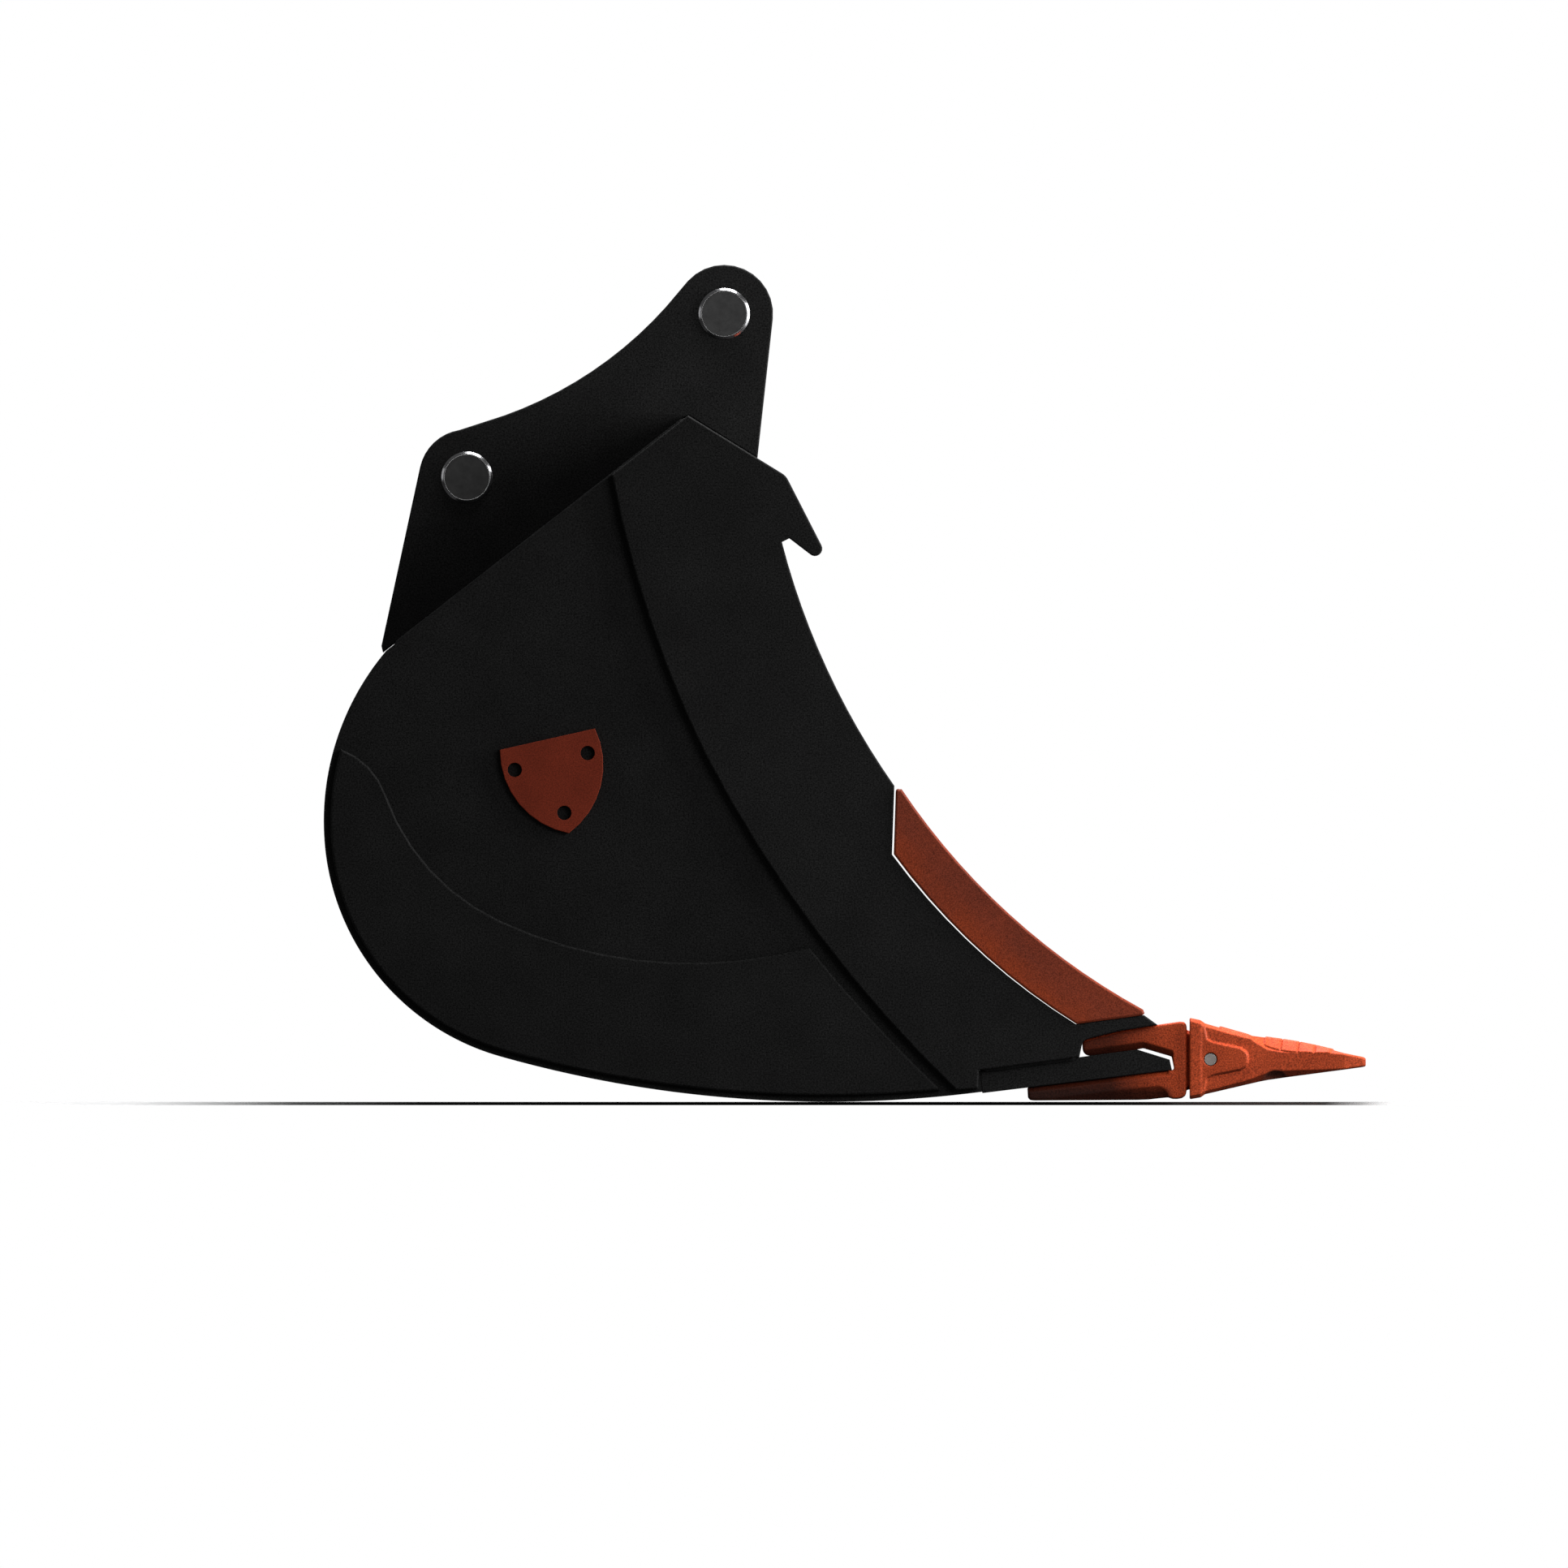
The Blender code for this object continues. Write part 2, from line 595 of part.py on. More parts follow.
def strap_pocket(sign, half):
    """The undercut along the lower strap's side, which leans in towards the ground."""
    below = -4.0
    lean = 0.62
    ridge = [(250.0, -1.0), (262.0, 3.0), (330.0, 11.6), (396.0, 19.4), (417.0, 21.6)]
    ridge += [(425.0, 19.0), (430.0, 12.0), (433.0, 5.0), (434.0, -1.0)]
    rings = []
    for x, z in ridge:
        depth = lean * (z - below)
        rings.append([(x, sign * (half + 1), z + 1 / lean), (x, sign * (half + 1), below),
                      (x, sign * (half - depth), below)])
    return loft("pocket", rings)


def eight_sided(x, low, high, half, inset, drop, foot):
    """A ring across the width: flat sides, with its upper and lower corners cut off."""
    return [
        (x, half, low + foot), (x, half, high - drop), (x, half - inset, high), (x, inset - half, high),
        (x, -half, high - drop), (x, -half, low + foot), (x, foot - half, low), (x, half - foot, low),
    ]


def nose_sections(grow):
    """The tapered nose that the tooth slides over, or with growth the socket cut for it."""
    # x, bottom, top, half width
    stations = [
        (440.0, 13.0, 98.0, 35.0),
        (480.0, 20.5, 90.0, 32.5),
        (530.0, 37.0, 75.0, 29.0),
        (556.0 + grow, 46.5, 68.0, 27.0),
    ]
    corner = 5.0
    return [
        eight_sided(x, low - grow, high + grow, half + grow, corner, corner, corner)
        for x, low, high, half in stations
    ]


def adapter_mesh():
    half = ADAPTER_WIDTH / 2
    body = prism("adapter", strap_outline(), -half, half, "red_casting", 2.0)
    body = join(body, loft("nose", nose_sections(0)))
    for sign in (-1, 1):
        body = cut(body, weld_chamfer(sign, half), lower_chamfer(sign, half), strap_pocket(sign, half))
    bore = turned("bore", [(TOOTH_HOLE_RADIUS, -60), (TOOTH_HOLE_RADIUS, 60)], TOOTH_PIN, steps=24)
    seat_profile = [(RING_RADIUS + FIT_GAP, RING_SEAT), (RING_RADIUS + FIT_GAP, 60)]
    body = cut(body, bore, turned("seat", seat_profile, TOOTH_PIN, steps=24))
    return smooth(body, 28)


def weld_chamfer(sign, half):
    """A wedge that takes off the upper strap's lower edge, where the weld goes."""
    depth = 9.0
    below = 6.0
    rear, front = lip_top_at(300.0, FIT_GAP), (397.5, 71.4)
    nose = (437.5, 59.7)
    rings = []
    for x, z in (rear, front, nose):
        rings.append([(x, sign * (half - depth), z - below), (x, sign * (half + 2), z - below),
                      (x, sign * (half + 2), z + depth + 1.5), (x, sign * (half - depth), z + 0.2)])
    return loft("wedge", rings)


def lower_chamfer(sign, half):
    """The same for the lower strap's upper edge."""
    depth = 7.0
    above = 6.0
    rings = []
    for x, z in (along(*LOWER_STRAP, -depth), along(LOWER_STRAP[1], LOWER_STRAP[0], depth)):
        rings.append([(x, sign * (half - depth), z - 0.2), (x, sign * (half - depth), z + above),
                      (x, sign * (half + 2), z + above), (x, sign * (half + 2), z - depth - 1)])
    return loft("wedge", rings)


def tooth_sections():
    """Rings down the tooth: a spine with shoulders that fall to a chisel edge."""
    # x, bottom, top, half width, shoulder in from the side, shoulder drop, lower edge
    stations = [
        (479.0, 10.0, 104.2, 45.0, 5.0, 4.0, 4.0),
        (500.0, 14.9, 98.2, 44.0, 6.0, 4.5, 4.5),
        (541.6, 24.6, 87.6, 42.5, 7.0, 5.0, 6.0),
        (552.0, 27.0, 86.2, 42.0, 12.0, 11.0, 8.0),
        (564.0, 29.3, 84.8, 41.5, 15.0, 16.5, 9.5),
        (582.0, 31.9, 82.3, 41.0, 16.0, 17.0, 9.5),
        (600.5, 34.4, 79.4, 40.5, 15.0, 14.7, 8.0),
        (627.0, 37.9, 74.1, 40.2, 12.0, 10.0, 5.0),
        (648.0, 40.7, 69.1, 40.0, 7.0, 5.0, 3.0),
        (665.3, 43.0, 64.4, 40.0, 3.0, 1.8, 1.6),
        (690.0, 46.4, 59.4, 35.6, 2.5, 2.2, 2.0),
        (693.4, 47.6, 57.4, 34.2, 2.0, 1.6, 1.6),
    ]
    return [eight_sided(*station) for station in stations]


def collar_sections():
    """The thick collar at the tooth's open end."""
    # x, bottom, top, half width, edge
    stations = [
        (TOOTH_REAR_X, 4.6, 110.5, 48.0, 4.0),
        (TOOTH_REAR_X + 1.0, 3.7, 111.3, 49.0, 4.5),
        (473.6, 5.9, 108.4, 48.5, 5.0),
        (478.6, 9.4, 104.9, 46.6, 5.0),
        (482.0, 12.5, 101.5, 43.0, 4.0),
    ]
    return [eight_sided(x, low, high, half, edge, edge, edge) for x, low, high, half, edge in stations]


def tooth_boss(half):
    """The raised U round the pin hole, on both sides of the tooth."""
    middle = TOOTH_PIN[1] + 0.4
    upper = [(470.0, 45.5), (480.0, 44.0), (483.2, 27.5), (491.5, 23.2)]
    upper += [(527.0, 15.6), (534.0, 11.0), (537.3, 5.0)]
    outline = [(x, middle + rise) for x, rise in upper]
    outline += [(x, middle - rise * 0.94) for x, rise in reversed(upper)]
    return prism("boss", outline, -half, half, chamfer=2.4)


def tooth_pad():
    """The low pad on top of the tooth, ahead of the collar."""
    outline = [(499.2, 94.0), (499.8, 100.5), (536.2, 90.2), (545.0, 86.6), (545.0, 80.0)]
    return prism("pad", outline, -22.0, 22.0, chamfer=1.0)


def tooth_mesh():
    tooth = new_object("tooth", loft("body", tooth_sections()).data)
    bpy.data.objects.remove(bpy.data.objects["body"], do_unlink=True)
    tooth.data.materials.append(material("red_casting"))
    join(tooth, loft("collar", collar_sections()), tooth_boss(47.4), tooth_pad())
    socket = nose_sections(NOSE_CLEARANCE)
    hole = turned("hole", [(TOOTH_HOLE_RADIUS, -70), (TOOTH_HOLE_RADIUS, 70)], TOOTH_PIN, steps=24)
    cut(tooth, loft("socket", socket), hole)
    return smooth(tooth, 28)


def tooth_pin_mesh():
    half = TOOTH_PIN_LENGTH / 2
    profile = [(TOOTH_PIN_RADIUS - 1, -half), (TOOTH_PIN_RADIUS, -half + 1), (TOOTH_PIN_RADIUS, half - 1),
               (TOOTH_PIN_RADIUS - 1, half)]
    return smooth(turned("tooth_pin", profile, TOOTH_PIN, "pin_steel", 24), 30)


def ring_mesh():
    """The ring that grips the tooth pin, seated in the side of the nose."""
    start = RING_SEAT + FIT_GAP
    end = start + RING_LENGTH
    profile = [
        (RING_BORE, start), (RING_RADIUS, start), (RING_RADIUS, end), (RING_BORE, end), (RING_BORE, start),
    ]
    return smooth(turned("retainer", profile, TOOTH_PIN, "ring_rubber", 24), 30)


def build_teeth():
    """Five stations across the lip, numbered from the -Y side."""
    patterns = {
        "adapter": adapter_mesh(),
        "tooth": tooth_mesh(),
        "tooth_pin": tooth_pin_mesh(),
        "pin_retainer": ring_mesh(),
    }
    for index in range(TOOTH_COUNT):
        y = (index - (TOOTH_COUNT - 1) / 2) * TOOTH_PITCH
        for name, pattern in patterns.items():
            copy = new_object(f"{name}_{index + 1}", pattern.data)
            copy.location.y = y * MM
    for pattern in patterns.values():
        bpy.data.objects.remove(pattern, do_unlink=True)


def main():
    clear_scene()
    face = BUCKET_WIDTH / 2
    both_sides("side_plate", side_outline(), face - SIDE_THICKNESS, SIDE_THICKNESS, "black_paint", 0)
    both_sides("side_bar", bar_outline(), face + FIT_GAP, BAR_THICKNESS, "black_paint", 1.6)
    both_sides("heel_wear_plate", heel_outline(), face + FIT_GAP, HEEL_THICKNESS, "black_paint", 2.0)
    both_sides("side_cutter", cutter_outline(), face - SIDE_THICKNESS, CUTTER_THICKNESS, "red_cutter", 2.4)
    build_shell()
    build_lip()
    build_ears()
    build_tie_plate()
    build_main_pin("stick_pin", STICK_PIN)
    build_main_pin("link_pin", LINK_PIN)
    build_badges()
    build_teeth()


main()
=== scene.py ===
"""The looks of the digging bucket: painted plate, cast teeth, ground pins, weld beads and studio.

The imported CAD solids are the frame. Each visible plate becomes a copy with rounded edges, each
casting a filleted one with its fine relief, and the pins and bushes are turned afresh. Outlines
that repeat the design's curves are in millimetres in the X-Z plane, like the design itself.
"""

import math

import bmesh
import bpy
from mathutils import Matrix, Vector
from mathutils.bvhtree import BVHTree


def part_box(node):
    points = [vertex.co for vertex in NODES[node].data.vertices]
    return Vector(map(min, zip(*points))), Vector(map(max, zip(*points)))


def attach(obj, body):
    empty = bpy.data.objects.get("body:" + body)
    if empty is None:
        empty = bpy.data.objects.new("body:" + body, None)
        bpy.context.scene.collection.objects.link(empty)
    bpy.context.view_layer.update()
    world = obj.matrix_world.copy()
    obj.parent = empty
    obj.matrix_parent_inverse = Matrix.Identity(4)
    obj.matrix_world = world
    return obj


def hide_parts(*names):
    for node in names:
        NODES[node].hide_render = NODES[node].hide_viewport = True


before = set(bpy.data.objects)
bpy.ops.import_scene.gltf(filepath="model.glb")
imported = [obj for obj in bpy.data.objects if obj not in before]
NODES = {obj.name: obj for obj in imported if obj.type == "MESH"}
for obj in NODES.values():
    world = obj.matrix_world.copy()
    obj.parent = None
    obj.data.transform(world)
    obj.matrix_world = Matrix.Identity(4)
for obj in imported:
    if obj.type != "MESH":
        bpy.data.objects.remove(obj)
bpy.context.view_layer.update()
MM = 0.001
SKIN = 0.16  # mm of paint and plate that closes the 0.3 mm seams between the solids
CAST_SWELL = 0.3  # mm that the softening of a casting takes off
LONGEST_FLAT = 12.0  # mm, along the shell's curves
SHARP_EDGE = 30  # degrees, from which an edge is rounded
TOOTH_COUNT = 5
SIDES = (("left", -1), ("right", 1))

# The design's curves that the weld beads follow
SHELL_THICKNESS = 16.0
FLOOR_RADIUS = 1600.0
HEEL_RADIUS = 322.0
REAR_RADIUS = 351.0
FLOOR_CENTRE = (-22.7, FLOOR_RADIUS)
FLOOR_TO_HEEL = 254.2
HEEL_TO_REAR = 186.0
HEEL_INSET = 8.6
LIP_REAR_TOP = (180.0, 41.6)
LIP_BEVEL = (389.5, 69.4)
CEILING_RADIUS = 230.0
CEILING_THICKNESS = 12.0
CEILING_END = 165.0
MOUTH_TOP = (-86.0, 741.0)
ROOF_PEAK = (-208.0, 913.0)
ROOF_REAR_Z = 600.0

# How far from the bucket's middle the faces lie that the weld beads stand on
SIDE_INNER = 430.0
LIP_END = 450.3
EAR_INNER = 113.0
EAR_OUTER = 158.0

# The pins
STICK_PIN = (-160.1, 1048.6)
LINK_PIN = (-502.5, 831.0)
BIG_PIN_RADIUS = 30.0
TOOTH_PIN = (487.1, 56.4)
TOOTH_PIN_RADIUS = 7.45

# The scallop under each side of a tooth, in metres
SCALLOP_CENTRE = (0.5745, 0.022)

# The side cutter's outer arc, in metres
CUTTER_CENTRE = (0.8364, 0.9261)
CUTTER_RADIUS = 0.9157

# The camera stands square to the bucket's side
VIEW_WIDTH = 2.08656
VIEW_CENTRE = (-0.08046, 0.42282)
VIEW_DISTANCE = 5.0


# ---------------------------------------------------------------- geometry helpers

def polar(centre, radius, degrees):
    angle = math.radians(degrees)
    return centre[0] + radius * math.cos(angle), centre[1] + radius * math.sin(angle)


def turn(centre, radius, start, end, steps):
    return [polar(centre, radius, start + (end - start) * i / steps) for i in range(steps + 1)]


def angle_at(centre, point):
    return math.degrees(math.atan2(point[1] - centre[1], point[0] - centre[0])) % 360


HEEL_CENTRE = polar(FLOOR_CENTRE, FLOOR_RADIUS - HEEL_RADIUS, FLOOR_TO_HEEL)
REAR_CENTRE = polar(HEEL_CENTRE, HEEL_RADIUS - REAR_RADIUS, HEEL_TO_REAR)


def even_path(points, spacing):
    """Points at an even spacing along a line through the given ones."""
    result = [Vector(points[0])]
    owed = spacing
    for start, end in zip(points, points[1:]):
        start, end = Vector(start), Vector(end)
        length = (end - start).length
        at = owed
        while at <= length:
            result.append(start.lerp(end, at / length))
            at += spacing
        owed = at - length
    return result


def new_piece(name, mesh, body, slot, material, *stands_for):
    piece = bpy.data.objects.new(name, mesh)
    bpy.context.scene.collection.objects.link(piece)
    mesh.materials.clear()
    mesh.materials.append(material)
    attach(piece, body)
    if stands_for:
        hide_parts(*stands_for)
    return piece


def clean_shape(node):
    """A CAD solid as a bmesh without split points or needless edges."""
    shape = bmesh.new()
    shape.from_mesh(NODES[node].data)
    bmesh.ops.remove_doubles(shape, verts=shape.verts, dist=1e-6)
    bmesh.ops.dissolve_limit(
        shape, angle_limit=math.radians(0.5), verts=shape.verts, edges=shape.edges
    )
    bmesh.ops.recalc_face_normals(shape, faces=shape.faces)
    return shape


def grow(shape, distance):
    """Moves the whole surface outwards by a distance in mm, so that it meets its neighbours."""
    bmesh.ops.recalc_face_normals(shape, faces=shape.faces)
    most = 2.5
    moves = [(vert, vert.normal * min(vert.calc_shell_factor(), most)) for vert in shape.verts]
    for vert, way in moves:
        vert.co += way * distance * MM


def arc_of(edge, circles):
    """The circle that an edge is a chord of, if it runs in the X-Z plane and there is one."""
    start, end = (vert.co / MM for vert in edge.verts)
    level, near = 0.01, 0.05
    if abs(start.y - end.y) > level or (start - end).length < LONGEST_FLAT:
        return None
    for centre, radius in circles:
        if all(abs(math.dist((point.x, point.z), centre) - radius) < near for point in (start, end)):
            return centre, radius
    return None


def bend_flats(shape, insets):
    """Divides the flats along the shell's three arcs and bends them onto the true curves."""
    circles = [
        (centre, radius - inset) for inset in insets
        for centre, radius in (
            (FLOOR_CENTRE, FLOOR_RADIUS), (HEEL_CENTRE, HEEL_RADIUS), (REAR_CENTRE, REAR_RADIUS)
        )
    ]
    groups = {}
    for edge in shape.edges:
        circle = arc_of(edge, circles)
        if circle:
            cuts = math.ceil(edge.calc_length() / MM / LONGEST_FLAT) - 1
            groups.setdefault((circle, cuts), []).append(edge)
    for (circle, cuts), edges in groups.items():
        made = bmesh.ops.subdivide_edges(shape, edges=edges, cuts=cuts, use_grid_fill=True)
        centre, radius = circle
        for vert in {item for item in made["geom_inner"] if isinstance(item, bmesh.types.BMVert)}:
            away = Vector((vert.co.x / MM - centre[0], vert.co.z / MM - centre[1]))
            away = away.normalized() * radius
            vert.co.x = (centre[0] + away.x) * MM
            vert.co.z = (centre[1] + away.y) * MM


def to_mesh(shape, name, sharp=35):
    mesh = bpy.data.meshes.new(name)
    shape.to_mesh(mesh)
    shape.free()
    mesh.shade_smooth()
    mesh.set_sharp_from_angle(angle=math.radians(sharp))
    return mesh


def rounded_mesh(node, width, segments, insets):
    """A CAD solid with its sharp edges rounded, and the shell's arcs along it made round."""
    shape = clean_shape(node)
    bend_flats(shape, insets)
    grow(shape, SKIN)
    limit = math.radians(SHARP_EDGE)
    sharp = [edge for edge in shape.edges if edge.is_manifold and edge.calc_face_angle(0) > limit]
    bmesh.ops.bevel(
        shape, geom=sharp, offset=width * MM, segments=segments, profile=0.5,
        affect="EDGES", clamp_overlap=True,
    )
    return to_mesh(shape, node)


def steady_normals(piece):
    """Large faces keep flat shading, and the roundings between them take up the turn."""
    weights = piece.modifiers.new("steady normals", "WEIGHTED_NORMAL")
    weights.keep_sharp = True
    weights.weight = 80


def plate(node, slot, material, width, segments=3, insets=()):
    """The visible copy of a plate, its edges rounded over this width in mm."""
    mesh = rounded_mesh(node, width, segments, insets)
    steady_normals(new_piece(f"{node}_skin", mesh, "bucket", slot, material, node))


def lathe(name, profile, steps=96):
    """A profile of (radius, y) in mm spun round the Y axis, closed at its ends."""
    shape = bmesh.new()
    rings = []
    for radius, y in profile:
        if radius == 0:
            rings.append([shape.verts.new((0, y * MM, 0))])
            continue
        turns = [2 * math.pi * i / steps for i in range(steps)]
        rings.append([
            shape.verts.new((radius * MM * math.cos(a), y * MM, radius * MM * math.sin(a))) for a in turns
        ])
    for near, far in zip(rings, rings[1:]):
        for i in range(steps):
            j = (i + 1) % steps
            corners = [near[i % len(near)], near[j % len(near)], far[j % len(far)], far[i % len(far)]]
            shape.faces.new(list(dict.fromkeys(corners)))
    if profile[0] == profile[-1]:
        bmesh.ops.remove_doubles(shape, verts=shape.verts, dist=1e-7)
    bmesh.ops.recalc_face_normals(shape, faces=shape.faces)
    return to_mesh(shape, name, 40)


def evaluated_mesh(obj, name):
    bpy.context.view_layer.update()
    graph = bpy.context.evaluated_depsgraph_get()
    mesh = bpy.data.meshes.new_from_object(obj.evaluated_get(graph))
    mesh.name = name
    return mesh


# ---------------------------------------------------------------- materials

def start_material(name, roughness, specular, metallic=0.0):
    made = bpy.data.materials.new(name)
    made.use_nodes = True
    shader = made.node_tree.nodes["Principled BSDF"]
    shader.inputs["Roughness"].default_value = roughness
    shader.inputs["Specular IOR Level"].default_value = specular
    shader.inputs["Metallic"].default_value = metallic
    return made, made.node_tree, shader


def object_coords(tree):
    coords = tree.nodes.new("ShaderNodeTexCoord")
    return coords.outputs["Object"]


def noise(tree, coords, scale, detail=3.0, rough=0.5):
    made = tree.nodes.new("ShaderNodeTexNoise")
    made.inputs["Scale"].default_value = scale
    made.inputs["Detail"].default_value = detail
    made.inputs["Roughness"].default_value = rough
    tree.links.new(coords, made.inputs["Vector"])
    return made.outputs["Fac"]


def spread(tree, value, low, high, to_low, to_high):
    """A value carried from one range to another."""
    made = tree.nodes.new("ShaderNodeMapRange")
    for place, number in enumerate((low, high, to_low, to_high), start=1):
        made.inputs[place].default_value = number
    tree.links.new(value, made.inputs[0])
    return made.outputs[0]


def product(tree, factor_a, factor_b):
    made = tree.nodes.new("ShaderNodeMath")
    made.operation = "MULTIPLY"
    tree.links.new(factor_a, made.inputs[0])
    tree.links.new(factor_b, made.inputs[1])
    return made.outputs[0]


def blend(tree, factor, colour_a, colour_b, mode="MIX"):
    """Two colours, or colours coming from other nodes, mixed by a factor."""
    made = tree.nodes.new("ShaderNodeMix")
    made.data_type = "RGBA"
    made.blend_type = mode
    if hasattr(factor, "links"):
        tree.links.new(factor, made.inputs[0])
    else:
        made.inputs[0].default_value = factor
    for place, colour in ((6, colour_a), (7, colour_b)):
        if hasattr(colour, "links"):
            tree.links.new(colour, made.inputs[place])
        else:
            made.inputs[place].default_value = (*colour, 1)
    return made.outputs[2]


def add_bump(tree, shader, layers):
    """Stacks (height, strength, distance in mm) layers of relief on the shader's normal."""
    normal = None
    for height, strength, distance in layers:
        made = tree.nodes.new("ShaderNodeBump")
        made.inputs["Strength"].default_value = strength
        made.inputs["Distance"].default_value = distance * MM
        tree.links.new(height, made.inputs["Height"])
        if normal:
            tree.links.new(normal, made.inputs["Normal"])
        normal = made.outputs["Normal"]
    tree.links.new(normal, shader.inputs["Normal"])


def painted(name, dark, light, roughness, specular, grain, cloud, relief, tint=None, flecks=0.4):
    """Sprayed paint: cloudy tone, fine speckle, and an uneven skin with a little orange peel.

    tint adds to the tone: a function of the node tree, the coordinates and the colour so far.
    """
    made, tree, shader = start_material(name, roughness, specular)
    coords = object_coords(tree)
    clouds = noise(tree, coords, cloud, 4.0, 0.6)
    speckle = noise(tree, coords, grain, 2.0, 0.7)
    tone = blend(tree, spread(tree, clouds, 0.3, 0.7, 0, 1), dark, light)
    if tint:
        tone = tint(tree, coords, tone)
    low, high = (1 - flecks,) * 3, (1 + flecks,) * 3
    fleck = blend(tree, spread(tree, speckle, 0.3, 0.7, 0, 1), low, high)
    tree.links.new(blend(tree, 1.0, tone, fleck, "MULTIPLY"), shader.inputs["Base Color"])
    sheen = noise(tree, coords, cloud * 3, 3.0, 0.6)
    tree.links.new(
        spread(tree, sheen, 0.3, 0.7, roughness - 0.07, roughness + 0.07), shader.inputs["Roughness"]
    )
    peel = noise(tree, coords, grain * 0.45, 2.0, 0.5)
    add_bump(tree, shader, [(peel, relief, 0.25), (speckle, relief, 0.12)])
    return made


def black_paint():
    return painted(
        "black_paint_finish", (0.0125, 0.0125, 0.0125), (0.0170, 0.0170, 0.0170), 0.55, 0.05,
        grain=480, cloud=14, relief=0.35, flecks=0.85,
    )


def painted_strap_shade(tree, coords, tone):
    """Painted shade: the red is darkened from the block towards the straps' ends, and most in the lower
    one's pocket.
    """
    parts = split(tree, coords)
    back = spread(tree, parts["X"], 0.355, 0.435, 0.0, 1.0)
    low = spread(tree, parts["Z"], 0.03, 0.07, 0.05, 0.16)
    share = tree.nodes.new("ShaderNodeMapRange")
    tree.links.new(back, share.inputs[0])
    tree.links.new(low, share.inputs[3])
    share.inputs[4].default_value = 1.0
    # painted shade: the straps darken towards their ends, most low down under the lip
    tone = blend(tree, share.outputs[0], (0.035, 0.008, 0.004), tone)
    # painted shade: near-black in the lower strap's pocket
    pocket_shade = product(
        tree, spread(tree, parts["Z"], 0.022, 0.012, 0.0, 0.75),
        spread(tree, parts["X"], 0.440, 0.430, 0.0, 1.0),
    )
    return blend(tree, pocket_shade, tone, (0.022, 0.009, 0.007))


def painted_shade_and_highlight(tree, coords, tone):
    """Painted shade on the straps, on faces turned downwards and in the scallops, and a painted highlight
    on upward faces above the lip.
    """
    tone = painted_strap_shade(tree, coords, tone)
    facing = tree.nodes.new("ShaderNodeTexCoord")
    upward = split(tree, facing.outputs["Normal"])["Z"]
    # painted shade: faces that turn downwards are darkened, as if out of the top light
    tone = blend(tree, spread(tree, upward, -0.2, -0.7, 0.0, 0.7), tone, (0.05, 0.013, 0.008))
    # painted shade: the scallop under each side of a tooth is darkened
    scallop = reach_from(tree, coords, SCALLOP_CENTRE)
    tone = blend(tree, spread(tree, scallop, 0.022, 0.018, 0.0, 0.75), tone, (0.05, 0.022, 0.017))
    above_lip = spread(tree, split(tree, coords)["Z"], 0.052, 0.070, 0.0, 0.9)
    # painted highlight: upward faces above the lip turn bright orange, as if lit from above
    top_highlight = product(tree, spread(tree, upward, 0.15, 0.7, 0.0, 1.0), above_lip)
    return blend(tree, top_highlight, tone, (0.68, 0.080, 0.023))


def red_casting():
    return painted(
        "red_casting_finish", (0.40, 0.055, 0.017), (0.54, 0.078, 0.023), 0.50, 0.12,
        grain=520, cloud=14, relief=0.9, tint=painted_shade_and_highlight, flecks=0.6,
    )


def brighter_inner_edge(tree, coords, tone):
    """The cutter's dull middle turns to a cleaner red in a band along its hollow inner edge."""
    reach = reach_from(tree, coords, CUTTER_CENTRE)
    mottle = noise(tree, coords, 24, 4.0, 0.6)
    edge = spread(tree, reach, CUTTER_RADIUS + 0.026, CUTTER_RADIUS + 0.052, 0.0, 0.85)
    patchy = spread(tree, mottle, 0.35, 0.65, 0.35, 1.0)
    return blend(tree, product(tree, edge, patchy), tone, (0.36, 0.055, 0.016))


def red_cutter():
    return painted(
        "red_cutter_finish", (0.19, 0.040, 0.022), (0.28, 0.049, 0.022), 0.42, 0.08,
        grain=620, cloud=9, relief=0.4, tint=brighter_inner_edge, flecks=0.5,
    )


def badge_red():
    return painted(
        "badge_finish", (0.19, 0.027, 0.012), (0.24, 0.034, 0.015), 0.6, 0.1,
        grain=600, cloud=20, relief=0.3,
    )


def split(tree, coords):
    parts = tree.nodes.new("ShaderNodeSeparateXYZ")
    tree.links.new(coords, parts.inputs[0])
    return parts.outputs


def reach_from(tree, coords, centre=(0, 0)):
    """How far a place is from a line across the bucket, through this X and Z in metres."""
    parts = split(tree, coords)
    flat = tree.nodes.new("ShaderNodeCombineXYZ")
    tree.links.new(parts["X"], flat.inputs["X"])
    tree.links.new(parts["Z"], flat.inputs["Z"])
    reach = tree.nodes.new("ShaderNodeVectorMath")
    reach.operation = "DISTANCE"
    reach.inputs[1].default_value = (centre[0], 0, centre[1])
    tree.links.new(flat.outputs[0], reach.inputs[0])
    return reach.outputs["Value"]


def turned_steel(name, colour, roughness, ring_scale, relief):
    """Machined steel: rings round the axis, a brushed gloss and a few dull patches."""
    made, tree, shader = start_material(name, roughness, 0.5, 1.0)
    coords = object_coords(tree)
    along = tree.nodes.new("ShaderNodeCombineXYZ")
    tree.links.new(reach_from(tree, coords), along.inputs["X"])
    tree.links.new(split(tree, coords)["Y"], along.inputs["Y"])
    rings = noise(tree, along.outputs[0], ring_scale, 2.0, 0.6)
    patches = noise(tree, coords, 60, 4.0, 0.65)
    dull = tuple(channel * 0.72 for channel in colour)
    tone = blend(tree, spread(tree, patches, 0.35, 0.65, 0, 1), dull, colour)
    tree.links.new(tone, shader.inputs["Base Color"])
    tree.links.new(
        spread(tree, rings, 0.3, 0.7, roughness - 0.06, roughness + 0.08), shader.inputs["Roughness"]
    )
    add_bump(tree, shader, [(rings, relief, 0.02)])
    return made


